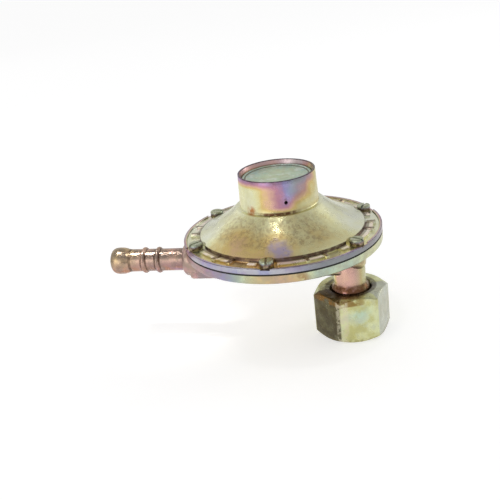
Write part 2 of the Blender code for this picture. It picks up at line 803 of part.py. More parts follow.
def make_plunger():
    pad_seat = pad_face - pad_thickness
    edge = 0.4 * MM
    profile = [
        (0.0, pad_seat - seat_gap),
        (plunger_radius - edge, pad_seat - seat_gap),
        (plunger_radius, pad_seat - seat_gap - edge),
        (plunger_radius, plunger_tail + edge),
        (plunger_radius - edge, plunger_tail),
        (0.0, plunger_tail),
    ]
    plunger = along_x(turned("valve_plunger", profile, small_steps))
    slot_low = tube_axis_z - lever_foot_radius - 2 * running_gap
    slot_height = plunger_radius * 2
    slot = boxes("plunger_slot", (plunger_slot_width, 2 * plunger_radius + overshoot, slot_height),
                 [((pivot_x, 0.0, slot_low + slot_height / 2), 0.0)])
    cut(plunger, slot)
    dress(plunger, plated_steel)
    pad = along_x(turned("seat_pad", [
        (0.0, pad_face),
        (pad_radius, pad_face),
        (pad_radius, pad_seat),
        (0.0, pad_seat),
    ], tiny_steps))
    return dress(pad, rubber)


def make_lever():
    """Drawn in XY as its side view, then stood up so that its width runs along Y."""
    half = lever_arm_thickness / 2
    foot = (0.0, -lever_drop)
    tip_radius = 0.9 * MM
    hub_meet = lever_hub_radius * 0.9
    outline = arc((0, 0), lever_hub_radius, 20, 245, 12)
    outline += [(-half, -hub_meet - 1.0 * MM)]
    outline += arc(foot, lever_foot_radius, 150, 390, 10)
    outline += [(half, -hub_meet - 1.0 * MM)]
    outline += arc((0, 0), lever_hub_radius, 295, 340, 3)
    outline += arc((lever_reach, 0), tip_radius, -140, 140, 10)
    lever = outline_plate("lever", [outline], lever_arm_width)
    hub = rod("lever_hub", lever_hub_radius, -lever_hub_width / 2, lever_hub_width / 2, tiny_steps)
    hole = rod("lever_hole", pivot_pin_radius + bore_gap, -lever_hub_width, lever_hub_width, 16)
    for piece in (lever, hub, hole):
        piece.rotation_euler.x = math.radians(90)
        piece.location = (pivot_x, 0.0, pivot_z)
    join(lever, hub)
    cut(lever, hole)
    dress(lever, plated_steel)

    reach = post_inner_y + post_thickness - 0.3 * MM
    pin = rod("lever_pin", pivot_pin_radius, -reach, reach, 16, parts)
    pin.rotation_euler.x = math.radians(90)
    pin.location = (pivot_x, 0.0, pivot_z)
    return dress(pin, plated_steel)


# ---------------------------------------------------------------- diaphragm stack
def convolution(radius, height):
    """Height of a diaphragm face at a radius: flat, with one half-wave that hangs into the chamber."""
    share = (radius - convolution_inner) / (convolution_outer - convolution_inner)
    if share <= 0 or share >= 1:
        return height
    return height - convolution_depth * math.sin(math.pi * share) ** 2


def make_diaphragm():
    radii = [convolution_inner + (convolution_outer - convolution_inner) * k / 4 for k in range(5)]
    edge = disc_radius - 0.25 * MM
    hole = stem_neck_radius + bore_gap
    top = [(radius, convolution(radius, diaphragm_top)) for radius in radii]
    under = [(radius, convolution(radius, diaphragm_bottom)) for radius in reversed(radii)]
    profile = [(hole, diaphragm_top)] + top + [(edge, diaphragm_top), (edge, diaphragm_bottom)]
    profile += under + [(hole, diaphragm_bottom)]
    diaphragm = turned("diaphragm", profile, hidden_steps, closed=True)
    holes = rods("diaphragm_holes", screw_hole_radius + bore_gap, diaphragm_bottom - overshoot,
                 diaphragm_top + overshoot,
                 circle_points(screw_circle_radius, screw_count, first_screw_angle), tiny_steps)
    cut(diaphragm, holes)
    return dress(diaphragm, rubber)


def make_diaphragm_stack():
    hole = stem_neck_radius + bore_gap
    rim_inner = plate_radius - plate_thickness
    plate = turned("diaphragm_plate", [
        (plate_radius, plate_top + plate_rim_height),
        (plate_radius, plate_bottom + 0.4 * MM),
        (plate_radius - 0.4 * MM, plate_bottom),
        (hole, plate_bottom),
        (hole, plate_top),
        (rim_inner, plate_top),
        (rim_inner, plate_top + plate_rim_height),
    ], small_steps, closed=True)
    dress(plate, plated_steel)
    support = ring("support_washer", support_radius, hole, support_bottom, support_top)
    dress(support, plated_steel)

    neck_bottom = support_bottom - seat_gap
    head_bottom = plate_top + seat_gap
    head_top = head_bottom + stem_head_height
    stem = turned("stem", [
        (0.0, head_top),
        (stem_head_radius - 0.3 * MM, head_top),
        (stem_head_radius, head_top - 0.3 * MM),
        (stem_head_radius, head_bottom),
        (stem_neck_radius, head_bottom),
        (stem_neck_radius, neck_bottom - 0.4 * MM),
        (0.0, neck_bottom - 0.4 * MM),
    ], tiny_steps)
    foot_height = neck_bottom - stem_bottom
    foot = boxes("stem_foot", (stem_depth_x, stem_width_y, foot_height),
                 [((0.0, 0.0, stem_bottom + foot_height / 2), 0.0)])
    window = boxes("stem_window", (stem_depth_x + overshoot, stem_window_width, stem_window_height),
                   [((0.0, 0.0, pivot_z), 0.0)])
    join(stem, foot)
    cut(stem, window)
    dress(stem, plated_steel)


def make_main_spring():
    """One unbroken wire: 6 turns from the diaphragm plate to the seat washer."""
    count = int(spring_turns * spring_points_per_turn)
    low = spring_bottom + spring_wire_radius
    high = spring_top - spring_wire_radius
    curve = bpy.data.curves.new("main_spring", "CURVE")
    curve.dimensions = "3D"
    curve.bevel_depth = spring_wire_radius
    curve.bevel_resolution = 1
    curve.use_fill_caps = True
    spline = curve.splines.new("POLY")
    spline.points.add(count)
    points = []
    for k in range(count + 1):
        angle = 2 * math.pi * k / spring_points_per_turn
        height = low + (high - low) * k / count
        points.append(Vector((spring_coil_radius * math.cos(angle), spring_coil_radius * math.sin(angle), height)))
    for point, place in zip(spline.points, points):
        point.co = (*place, 1.0)
    spring = add_object("main_spring", curve)
    dress(spring, spring_steel)
    nearest = min(
        (points[a] - points[b]).length
        for a in range(count + 1)
        for b in range(a + spring_points_per_turn // 2, count + 1)
    )
    print(f"main_spring: least gap to itself {(nearest - 2 * spring_wire_radius) / MM:.2f} mm")
    return spring


def make_adjuster():
    washer = ring("spring_seat", seat_washer_radius, seat_washer_bore, seat_washer_bottom, seat_washer_top)
    dress(washer, plated_steel)
    radius = tower_bore_radius - running_gap
    edge = 0.5 * MM
    adjuster = turned("adjusting_screw", [
        (0.0, adjuster_top),
        (radius - edge, adjuster_top),
        (radius, adjuster_top - edge),
        (radius, adjuster_bottom + edge),
        (radius - edge, adjuster_bottom),
        (0.0, adjuster_bottom),
    ], small_steps)
    socket = rod("hex_socket", adjuster_socket_flats / math.sqrt(3), adjuster_bottom - overshoot,
                 adjuster_top + overshoot, 6)
    cut(adjuster, socket)
    return dress(adjuster, plastic)


# ---------------------------------------------------------------- assembly
def finish_surface(obj):
    """Turns the modifiers into a mesh, shaded smooth with its true corners kept sharp."""
    material = obj.data.materials[0]
    mesh = mesh_of(obj)
    obj.modifiers.clear()
    if obj.type == "CURVE":
        name = obj.name
        place = obj.matrix_world.copy()
        bpy.data.objects.remove(obj, do_unlink=True)
        obj = add_object(name, mesh)
        obj.matrix_world = place
    else:
        obj.data = mesh
    dress(obj, material)
    mesh.shade_smooth()
    mesh.set_sharp_from_angle(angle=sharp_angle)
    return obj


make_lower_body()
make_bonnet()
make_cap()
make_cover_screws()
make_hose_nozzle()
make_nipple()
make_union_nut()
make_jet()
make_plunger()
make_lever()
make_diaphragm()
make_diaphragm_stack()
make_main_spring()
make_adjuster()

bpy.context.view_layer.update()
finished = [finish_surface(piece) for piece in list(parts.objects)]
print(f"{len(finished)} pieces, {sum(len(p.data.loop_triangles) for p in finished)} triangles")
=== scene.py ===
# %% [markdown]
# # A low-pressure gas regulator
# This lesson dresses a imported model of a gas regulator: a disc-shaped casting with a spring tower, a
# ribbed hose nozzle and a hanging union nut, all plated and yellow chromated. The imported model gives
# the sizes and the moving bodies. Each visible piece is modelled again with Blender's own tools, fine
# enough to be looked at closely, and rides on the body that it belongs to.

import math

import bmesh
import bpy
from mathutils import Matrix, Vector


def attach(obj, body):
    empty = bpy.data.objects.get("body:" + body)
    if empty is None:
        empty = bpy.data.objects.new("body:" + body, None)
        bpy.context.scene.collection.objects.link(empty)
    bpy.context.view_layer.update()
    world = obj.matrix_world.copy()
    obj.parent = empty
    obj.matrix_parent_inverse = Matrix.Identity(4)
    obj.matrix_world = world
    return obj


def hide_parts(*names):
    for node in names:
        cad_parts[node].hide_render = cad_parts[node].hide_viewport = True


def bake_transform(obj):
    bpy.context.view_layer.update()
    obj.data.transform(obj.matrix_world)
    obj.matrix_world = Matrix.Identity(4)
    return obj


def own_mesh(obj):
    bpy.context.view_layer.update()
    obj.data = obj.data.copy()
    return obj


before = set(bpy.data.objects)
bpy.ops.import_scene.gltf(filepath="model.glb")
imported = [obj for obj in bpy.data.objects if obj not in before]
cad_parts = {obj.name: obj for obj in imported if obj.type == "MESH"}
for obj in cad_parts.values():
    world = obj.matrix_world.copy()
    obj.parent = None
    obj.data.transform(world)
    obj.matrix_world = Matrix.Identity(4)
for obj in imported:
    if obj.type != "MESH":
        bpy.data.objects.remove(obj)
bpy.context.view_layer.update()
MM = 0.001

# %% [markdown]
# ## The camera
# The camera stands where the photograph was taken from: a little above the part and to the right of
# its front. Its place came from lining up the outlines of the discs, the tower and the nut. A camera's
# matrix holds its own right, up and back directions as columns, so it is written straight in.

# %% Place the camera
camera_place = Vector((0.06252, -0.31237, 0.14224))
camera_right = Vector((0.97477, 0.19223, -0.11343))
camera_up = Vector((0.02907, 0.39454, 0.91842))
camera_back = Vector((0.22130, -0.89855, 0.37899))

camera_data = bpy.data.cameras.new("photo_camera")
camera_data.sensor_width = 36.0
camera_data.lens = 60.73
camera_data.clip_start = 0.01
camera = bpy.data.objects.new("photo_camera", camera_data)
bpy.context.scene.collection.objects.link(camera)
axes = Matrix((camera_right, camera_up, camera_back)).transposed().to_4x4()
camera.matrix_world = Matrix.Translation(camera_place) @ axes
bpy.context.scene.camera = camera
print(f"camera {camera_place.length * 1000:.0f} mm from the origin, lens {camera_data.lens:.1f} mm")

# %% [markdown]
# ## Tools for modelling by hand
# An operator works on everything that is selected, and the loaded model arrives selected. So each piece
# starts with nothing selected. Faces and edges are then picked in code, by where they are or which way
# they face, which does the job of the mouse.

# %% Start clean, apply a modifier, put a piece in its place
def start_clean():
    """Leaves edit mode and deselects everything."""
    if bpy.context.object and bpy.context.object.mode == "EDIT":
        bpy.ops.object.mode_set(mode="OBJECT")
    bpy.ops.object.select_all(action="DESELECT")


def take(piece):
    """Makes one piece the only selected and the active one."""
    start_clean()
    piece.select_set(True)
    bpy.context.view_layer.objects.active = piece


def just_added(name):
    """The object that an operator has just added, under its name."""
    piece = bpy.context.object
    piece.name = name
    return piece


def apply_modifier(piece, modifier):
    take(piece)
    bpy.ops.object.modifier_apply(modifier=modifier.name)


def settle(piece, turn=(0, 0, 0), at=(0, 0, 0)):
    """Turns a piece by degrees and moves it by millimetres, and writes both into its mesh."""
    take(piece)
    piece.rotation_euler = [math.radians(angle) for angle in turn]
    piece.location = piece.location + Vector(at) * MM
    bpy.ops.object.transform_apply(location=True, rotation=True, scale=True)
    return piece


# %% [markdown]
# Most pieces of a regulator are turned or are die-cast in a turned die. A lathe is easy to copy by
# hand: start from a circle, extrude its edge to the next height, resize it to the next radius, and go
# on along the outline. At the end the two open edges are bridged, for a piece with a bore, or filled,
# for a solid one.

# %% Turn an outline into a round piece
SAME_POINT = 0.00001


def edit(action):
    """Enters edit mode with every point selected (SELECT) or none (DESELECT)."""
    bpy.ops.object.mode_set(mode="EDIT")
    bpy.ops.mesh.select_all(action=action)


def merge_points():
    bpy.ops.mesh.select_all(action="SELECT")
    bpy.ops.mesh.remove_doubles(threshold=SAME_POINT)


def open_edges():
    bpy.ops.mesh.select_all(action="DESELECT")
    bpy.ops.mesh.select_non_manifold()


def face_outwards():
    bpy.ops.mesh.select_all(action="SELECT")
    bpy.ops.mesh.normals_make_consistent(inside=False)


def turn_piece(name, outline, steps=144, ends="bridge"):
    """Turns an outline of (radius, height), in millimetres, round Z."""
    start_clean()
    radius, height = outline[0]
    bpy.ops.mesh.primitive_circle_add(
        vertices=steps, radius=radius * MM, location=(0, 0, height * MM), fill_type="NOTHING"
    )
    piece = just_added(name)
    piece.data.name = name
    edit("SELECT")
    for next_radius, next_height in outline[1:]:
        climb = (0, 0, (next_height - height) * MM)
        growth = next_radius / radius
        bpy.ops.mesh.extrude_edges_move(TRANSFORM_OT_translate={"value": climb})
        bpy.ops.transform.resize(value=(growth, growth, 1), center_override=(0, 0, 0))
        radius, height = next_radius, next_height
    open_edges()
    if ends == "bridge":
        bpy.ops.mesh.bridge_edge_loops()
    else:
        bpy.ops.mesh.fill_holes(sides=0)
    face_outwards()
    return settle(piece)


# %% [markdown]
# Castings and turned parts have no knife-sharp edges. A Bevel modifier that is limited by angle finds
# every sharp edge by itself and rounds it a little, and these small rounds are what catch the light.
# Booleans join and cut. After each one, the piece is tested for open edges, because a closed skin is
# what shades and exports well.

# %% Round, join and cut
def round_edges(piece, width, segments=2, angle=32):
    bevel = piece.modifiers.new("rounded_edges", "BEVEL")
    bevel.width = width * MM
    bevel.segments = segments
    bevel.limit_method = "ANGLE"
    bevel.angle_limit = math.radians(angle)
    bevel.use_clamp_overlap = True
    apply_modifier(piece, bevel)
    return piece


def open_edge_count(piece):
    shape = bmesh.new()
    shape.from_mesh(piece.data)
    count = sum(1 for edge in shape.edges if not edge.is_manifold)
    shape.free()
    return count


def combine(piece, tool, operation):
    """Joins (UNION), cuts (DIFFERENCE) or keeps what is shared (INTERSECT), and removes the tool."""
    boolean = piece.modifiers.new("combined", "BOOLEAN")
    boolean.operation = operation
    boolean.solver = "MANIFOLD"
    boolean.object = tool
    apply_modifier(piece, boolean)
    print(f"{piece.name}: {operation.lower()} with {tool.name}, {open_edge_count(piece)} open edges")
    bpy.data.objects.remove(tool, do_unlink=True)
    return piece


# %% Rods and blocks to join or cut with, and copies round the axis
def rod(name, radius, low, high, at=(0, 0), steps=64):
    """A plain rod along Z."""
    start_clean()
    middle = (at[0] * MM, at[1] * MM, (low + high) / 2 * MM)
    bpy.ops.mesh.primitive_cylinder_add(
        vertices=steps, radius=radius * MM, depth=(high - low) * MM, location=middle
    )
    return settle(just_added(name))


def block(name, size, at):
    """A box by its size and its middle."""
    start_clean()
    bpy.ops.mesh.primitive_cube_add(size=1, location=[middle * MM for middle in at])
    piece = just_added(name)
    piece.scale = [side * MM for side in size]
    return settle(piece)


def join_pieces(pieces, name):
    """Several meshes in one object."""
    start_clean()
    for piece in pieces:
        piece.select_set(True)
    bpy.context.view_layer.objects.active = pieces[0]
    bpy.ops.object.join()
    pieces[0].name = name
    return pieces[0]


def copy_of(piece, name):
    """A copy with its own mesh."""
    copy = piece.copy()
    copy.data = piece.data.copy()
    copy.name = name
    bpy.context.scene.collection.objects.link(copy)
    return copy


def copies_round(piece, angles):
    """Turned copies of a piece round Z, in its place."""
    made = [settle(copy_of(piece, f"{piece.name}_copy"), turn=(0, 0, angle)) for angle in angles]
    bpy.data.objects.remove(piece, do_unlink=True)
    return made


# %% [markdown]
# Each finished piece does the same few things: it shades smoothly up to an angle, takes its finish,
# stands for its CAD node, and rides on that node's body, so that it moves with it. A soft piece that
# bends between two bodies rides on neither, and is given no body here.

# %% Hand a finished piece over to the frame
def hand_over(piece, body, nodes, material, smooth_angle=38):
    take(piece)
    bpy.ops.object.shade_smooth_by_angle(angle=math.radians(smooth_angle))
    piece.data.materials.clear()
    piece.data.materials.append(material)
    if body:
        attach(piece, body)
    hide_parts(*nodes)
    corners = [Vector(corner) for corner in piece.bound_box]
    size = [(max(c[k] for c in corners) - min(c[k] for c in corners)) / MM for k in range(3)]
    print(f"{piece.name}: {len(piece.data.polygons)} faces, {size[0]:.1f} x {size[1]:.1f} x {size[2]:.1f} mm")
    return piece


# %% [markdown]
# ## Yellow chromate
# Zinc plating that is dipped in chromate carries a film thinner than a wavelength of light. Its colour
# comes from its thickness, as on a soap bubble: straw where it is thin, then gold, pink, violet, blue,
# green, and straw again. So the finish is built the same way. One number per point says how thick the
# film is, noise makes it uneven, and a colour ramp turns thickness into colour.
#
# Such numbers are outputs of shader nodes. The small class here lets them be added, taken away,
# multiplied and divided like plain numbers, and each of these adds one Math node.

# %% Nodes and sums of their outputs
class Output:
    def __init__(self, tree, socket):
        self.tree = tree
        self.socket = socket

    def then(self, operation, *others):
        """A Math node that takes this output first."""
        return add_node(self.tree, "Math", dict(enumerate((self, *others))), operation=operation)

    def beside(self, name):
        """Another output of the same node."""
        return Output(self.tree, self.socket.node.outputs[name])

    def __add__(self, other):
        return self.then("ADD", other)

    def __sub__(self, other):
        return self.then("SUBTRACT", other)

    def __rsub__(self, other):
        return self.then("MULTIPLY", -1.0).then("ADD", other)

    def __mul__(self, other):
        return self.then("MULTIPLY", other)

    def __truediv__(self, other):
        return self.then("DIVIDE", other)

    def feed(self, socket):
        """Links this output to another node's input."""
        self.tree.links.new(self.socket, socket)


def add_node(tree, kind, links=None, output=0, **settings):
    """Adds a shader node and returns one of its outputs. links gives a value or an output for each input."""
    node = tree.nodes.new("ShaderNode" + kind)
    for key, value in settings.items():
        setattr(node, key, value)
    for socket, value in (links or {}).items():
        if isinstance(value, Output):
            value.feed(node.inputs[socket])
        else:
            node.inputs[socket].default_value = value
    return Output(tree, node.outputs[output])


# %% Steps, noise, ramps and mixes
def rise(value, low, high, bottom=0.0, top=1.0):
    """A smooth step of value from low to high, as a number from bottom to top."""
    links = {"Value": value, "From Min": low, "From Max": high, "To Min": bottom, "To Max": top}
    return add_node(value.tree, "MapRange", links, interpolation_type="SMOOTHSTEP")


def within(value, low, high, soft):
    """1 where value lies between low and high, falling to 0 over soft on each side."""
    return rise(value, low - soft, low) * rise(value, high, high + soft, 1.0, 0.0)


def blend_to(value, goal, share):
    """The value, moved by a share of the way to a goal."""
    return (goal - value) * share + value


def noise(point, size, detail=3.0, roughness=0.55):
    """Noise from 0 to 1 whose lumps are about size millimetres across."""
    links = {"Vector": point, "Scale": 1.0 / size, "Detail": detail, "Roughness": roughness}
    return add_node(point.tree, "TexNoise", links)


def on_screen(color):
    """A colour as seen on screen, as the renderer's own numbers."""
    return (*[channel**2.2 for channel in color], 1.0)


def ramp(value, stops):
    """A colour ramp with (position, (r, g, b)) stops."""
    made = add_node(value.tree, "ValToRGB", {0: value})
    elements = made.socket.node.color_ramp.elements
    while len(elements) < len(stops):
        elements.new(0.5)
    for element, (place, color) in zip(elements, stops):
        element.position = place
        element.color = on_screen(color)
    return made


def mix(share, first, second):
    """The first colour, with a share of the second."""
    links = {0: share}
    for socket, color in ((6, first), (7, second)):
        links[socket] = color if isinstance(color, Output) else on_screen(color)
    return add_node(share.tree, "Mix", links, output=2, data_type="RGBA", blend_type="MIX")


# %% Where a surface point lies
class Place:
    """A point's x, y and z, and its distance from an upright axis, in millimetres."""

    def __init__(self, point, centre=(0.0, 0.0)):
        x = add_node(point.tree, "SeparateXYZ", {0: point})
        self.x = x - centre[0]
        self.y = x.beside(1) - centre[1]
        self.z = x.beside(2)
        self.radius = (self.x * self.x + self.y * self.y).then("SQRT")

    def facing(self, bearing):
        """1 where the point lies at this bearing from the axis, -1 on the far side."""
        angle = math.radians(bearing)
        along = self.x * math.cos(angle) + self.y * math.sin(angle)
        return along / self.radius.then("MAXIMUM", 0.001)


def distance(point, centre):
    return add_node(point.tree, "VectorMath", {0: point, 1: centre}, output="Value", operation="DISTANCE")


def spot(point, centre, size, soft):
    """1 within size millimetres of a centre, falling to 0 over soft millimetres."""
    return rise(distance(point, centre), size, size + soft, 1.0, 0.0)


# %% A new material, and what it gives to its shader
def blank_finish(name, metallic, roughness=0.4):
    """A new material, its shader, and the surface point in millimetres."""
    material = bpy.data.materials.new(name)
    material.use_nodes = True
    tree = material.node_tree
    shader = tree.nodes["Principled BSDF"]
    shader.inputs["Metallic"].default_value = metallic
    shader.inputs["Roughness"].default_value = roughness
    coordinates = add_node(tree, "TexCoord", output="Object")
    point = add_node(tree, "Mapping", {"Vector": coordinates, "Scale": (1000.0, 1000.0, 1000.0)})
    return material, shader, point


def dress(shader, color, height, depth, roughness=None):
    """Links a colour, bumps that are depth millimetres deep, and an uneven roughness."""
    bump = add_node(height.tree, "Bump", {"Height": height, "Strength": 1.0, "Distance": depth * MM})
    color.feed(shader.inputs["Base Color"])
    bump.feed(shader.inputs["Normal"])
    if roughness:
        roughness.feed(shader.inputs["Roughness"])


# %% The film's colours and its fine structure
FILM_COLORS = (
    (0.00, (0.90, 0.91, 0.84)),
    (0.12, (0.88, 0.87, 0.68)),
    (0.24, (0.84, 0.74, 0.48)),
    (0.35, (0.85, 0.69, 0.60)),
    (0.46, (0.73, 0.53, 0.60)),
    (0.57, (0.62, 0.57, 0.74)),
    (0.68, (0.60, 0.68, 0.79)),
    (0.80, (0.70, 0.80, 0.74)),
    (0.91, (0.82, 0.86, 0.70)),
    (1.03, (0.87, 0.84, 0.60)),
    (1.14, (0.86, 0.72, 0.52)),
    (1.25, (0.80, 0.62, 0.62)),
)
THICKEST = 1.25
SPECK_COLOR = (0.50, 0.43, 0.32)


def chromate(name, thickness, layers, blotch=0.10, shine=0.26, skin=0.04, metallic=0.92):
    """The plated finish. thickness(point) gives the film from 0 to 1.25 before the noise, and
    layers(point) gives (share, colour) pairs that are laid over it."""
    material, shader, point = blank_finish(name, metallic)
    film = (noise(point, 11.0, 4.0) - 0.5) * (blotch * 2.4) + thickness(point)
    film = (noise(point, 1.9, 3.0) - 0.5) * (blotch * 0.8) + film
    color = ramp(film / THICKEST, [(f / THICKEST, c) for f, c in FILM_COLORS])
    specks = rise(noise(point, 0.5, 2.0), 0.60, 0.80, 0.0, 0.40)
    for share, layer_color in ((specks, SPECK_COLOR), *layers(point)):
        color = mix(share, color, layer_color)
    rub = rise(noise(point, 3.5, 5.0, 0.65), 0.3, 0.75, shine * 0.75, shine * 1.5)
    lumps_on_waves = noise(point, 6.0, 2.0) * 3.0 + noise(point, 0.9, 3.0)
    dress(shader, color, lumps_on_waves, skin, rub)
    print(f"{name}: {len(point.tree.nodes)} nodes")
    return material


# %% [markdown]
# The film is not the same all over: on this part the tower runs from yellow at its left and its foot
# through pink to blue at its top right, the dome is straw with a bluish cast near the front screw, and
# the edge of the disc is violet. Each piece therefore has its own small thickness map, written from the
# point's height, radius and bearing.

# %% The bonnet's film
def bonnet_film(point):
    at = Place(point)
    across = at.facing(11.2) + (noise(point, 5.0, 3.0) * 0.36 - 0.18)
    not_far_right = rise(across, 0.62, 1.02, 1.0, 0.0)
    column = rise(across, -0.75, 0.08) * rise(across, 0.14, 0.62, 1.0, 0.0)
    right = rise(across, -0.02, 0.50) * rise(at.z, 33.0, 40.5) * not_far_right
    tower = right * 0.42 + (column * 0.35 + 0.10)
    top = rise(at.z, 40.4, 43.6) * not_far_right
    tower = blend_to(tower, rise(across, -0.1, 0.45, 0.50, 0.66), top)
    foot = rise(at.z, 34.2, 31.6) * rise(across, -0.9, -0.5)
    tower = blend_to(tower, 0.17, foot)

    dome = rise(at.facing(175.0), 0.3, 0.95, 0.0, -0.10) + rise(at.facing(12.0), 0.75, 0.99, 0.15, 0.03)
    golden = rise(at.facing(-110.0), 0.70, 0.99, 0.0, 0.12)
    dome = golden * within(at.radius, 26.0, 36.0, 6.0) + dome
    film = blend_to(dome, tower, rise(at.z, 31.0, 31.6))
    edge = rise(at.facing(-88.0), 0.3, 0.97, 0.47, 0.60)
    return blend_to(film, edge, rise(at.radius, 38.8, 39.4))


# %% What lies over the bonnet's film
def bonnet_layers(point):
    """Painted shade at the dome's foot, on the inner part of the lands and on the tower's inner wall, darker
    lines along the lip, the darkened rim, a violet cast, and a painted highlight on the lands.
    """
    at = Place(point)
    ragged = noise(point, 2.2, 4.0)
    coarse = noise(point, 6.0, 4.0, 0.6)
    mottle = within(at.radius, 19.5, 27.5, 2.5) * rise(at.facing(-95.0), 0.30, 0.80)
    mottle *= rise(noise(point, 1.6, 6.0, 0.7), 0.44, 0.60, 0.10, 0.50)
    paler_edge = rise(at.radius, 38.9, 39.5) * rise(coarse, 0.35, 0.6, 0.15, 0.65)
    right_edge = rise(at.radius, 39.3, 39.7) * rise(at.z, 19.5, 19.2)
    right_edge *= rise(at.facing(-38.0), 0.72, 0.95, 0.0, 0.80)
    cast = rise(coarse * 9.0 + distance(point, (4.4, -29.3, 22.2)), 7.0, 11.0, 0.85, 0.0)
    cast *= rise(ragged, 0.62, 0.40, 0.55, 1.0)
    # Painted shade: a dark band in the crease at the foot of the dome, where it meets the flange.
    foot = within(at.radius, 33.30, 33.75, 0.25) * rise(at.z, 19.1, 19.6)
    foot *= rise(ragged, 0.30, 0.60, 0.55, 0.95)
    lines = within(at.radius, 38.60, 38.82, 0.15) * rise(at.z, 19.05, 19.2)
    lines += within(at.radius, 39.80, 40.10, 0.06) * rise(at.z, 19.3, 19.45)
    lines *= rise(ragged, 0.30, 0.60, 0.30, 0.80)
    bore = rise(at.radius, 14.75, 14.65)
    # Painted shade: the bore wall low down in the tower, just above the cap, is darkened.
    painted_shade_in_bore = bore * rise(at.z, 43.0, 42.7) * 0.65
    upper_wall = bore * rise(at.z, 42.7, 43.0) * 0.55
    right_side = rise(at.z, 31.0, 32.0) * rise(at.radius, 15.0, 15.1)
    right_side *= rise(at.facing(-25.0), 0.72, 0.92, 0.0, 0.45)
    rim = rise(at.z, 43.9, 44.2) * rise(ragged, 0.3, 0.6, 0.65, 0.95)
    orange = spot(point, (-8.6, -12.9, 32.2), 0.9, 2.2) * rise(ragged, 0.35, 0.55, 0.2, 0.9)
    root = within(at.z, 30.9, 31.7, 0.7) * within(at.radius, 15.5, 16.1, 0.4)
    root *= rise(at.facing(-82.0), 0.80, 0.97) * rise(ragged, 0.3, 0.5, 0.45, 0.95)
    on_land = within(at.z, 19.55, 19.90, 0.12)
    # Painted highlight: a near-white strip along the tops of the lands, over all of each land at the front,
    # stands in for the light they catch.
    painted_land_highlight = rise(coarse, 0.40, 0.52, 0.10, 0.90).then("MAXIMUM", rise(at.facing(-90.0), 0.88, 0.93))
    painted_land_highlight *= on_land * within(at.radius, 35.2, 36.6, 0.3) * 0.92
    # Painted shade: the inner part of each land's top, next to the dome's foot, is darkened.
    behind = on_land * within(at.radius, 33.5, 34.7, 0.4) * 0.65
    end_blocks = within(at.radius, 33.6, 37.8, 0.3) * rise(at.z, 19.90, 20.05)
    end_blocks *= rise(ragged, 0.32, 0.56, 0.55, 0.95)
    return (
        (mottle, (0.55, 0.45, 0.34)),
        (paler_edge, (0.76, 0.76, 0.74)),
        (right_edge, (0.48, 0.50, 0.50)),
        (cast, (0.68, 0.63, 0.76)),
        (foot, (0.33, 0.26, 0.22)),
        (lines, (0.38, 0.32, 0.33)),
        (painted_shade_in_bore, (0.60, 0.52, 0.36)),
        (upper_wall, (0.90, 0.76, 0.66)),
        (right_side, (0.62, 0.56, 0.36)),
        (rim, (0.30, 0.25, 0.27)),
        (orange, (0.72, 0.46, 0.24)),
        (root, (0.36, 0.22, 0.14)),
        (painted_land_highlight, (0.98, 0.91, 0.85)),
        (behind, (0.50, 0.42, 0.38)),
        (end_blocks, (0.42, 0.31, 0.25)),
    )


bonnet_finish = chromate("bonnet_chromate", bonnet_film, bonnet_layers, shine=0.31)

# %% [markdown]
# ## The bonnet
# The upper casting is one turned shape: a thin flange with a raised lip, a dome that rises in a hollow
# curve, and the spring tower. The outline runs up the inside and down the outside. Where the curve
# matters, as on the dome, it has many points, and everywhere else only the corners. The flanges close
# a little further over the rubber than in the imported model, so that only a thin line shows.

# %% The bonnet's sizes and outline
SEAM = 0.15
FLANGE_RADIUS = 40.0
BONNET_BOTTOM = 17.6 - SEAM
LIP_TOP = 19.6
FLOOR = 19.0
LIP_INNER = 38.9
CLAMP_RADIUS = 31.2
DOME_FOOT = 33.4
DOME_STEP = 1.8
LEDGE_RADIUS = 17.4
LEDGE = 31.0
TOWER_TOP = 44.3
TOWER_TOP_RADIUS = 15.3
TOWER_FOOT_RADIUS = 15.8
TOWER_BORE = 12.8
CAP_SEAT = 14.0
CAP_SHELF = 41.2
DOME_WALL = 2.6


def dome_height(radius):
    share = max(DOME_FOOT - radius, 0.0) / (DOME_FOOT - LEDGE_RADIUS)
    foot = FLOOR + DOME_STEP
    return foot + (LEDGE - foot) * share**1.35


def spread(first, last, count):
    return [first + (last - first) * k / count for k in range(count + 1)]


inside = [(CLAMP_RADIUS, BONNET_BOTTOM)]
inside += [(radius, dome_height(radius) - DOME_WALL) for radius in spread(30.5, LEDGE_RADIUS, 10)]
inside += [(TOWER_BORE, LEDGE - DOME_WALL / 2), (TOWER_BORE, CAP_SHELF), (CAP_SEAT, CAP_SHELF)]
inside += [(CAP_SEAT, TOWER_TOP - 1.5), (CAP_SEAT + 0.6, TOWER_TOP - 0.5), (CAP_SEAT + 0.65, TOWER_TOP)]
tower = [
    (TOWER_TOP_RADIUS, TOWER_TOP),
    (TOWER_TOP_RADIUS + 0.12, 42.0),
    (TOWER_FOOT_RADIUS - 0.1, 34.0),
    (TOWER_FOOT_RADIUS, LEDGE + 0.45),
    (TOWER_FOOT_RADIUS + 0.15, LEDGE + 0.12),
    (LEDGE_RADIUS - 0.5, LEDGE + 0.05),
]
dome = [(radius, dome_height(radius)) for radius in spread(LEDGE_RADIUS, DOME_FOOT, 24)]
flange = [
    (DOME_FOOT + 0.12, FLOOR),
    (36.0, FLOOR),
    (LIP_INNER - 0.25, FLOOR),
    (LIP_INNER, LIP_TOP),
    (FLANGE_RADIUS, LIP_TOP),
    (FLANGE_RADIUS, BONNET_BOTTOM),
]
bonnet = turn_piece("regulator_bonnet", inside + tower + dome + flange, steps=192)

# %% [markdown]
# Round each cover screw the flange carries a raised land, a piece of a ring. A small upright rectangle
# is spun through the land's angle. Two blocks close its ends, and a round pocket gives the screw head
# room. The land is modelled once and copied round the disc.

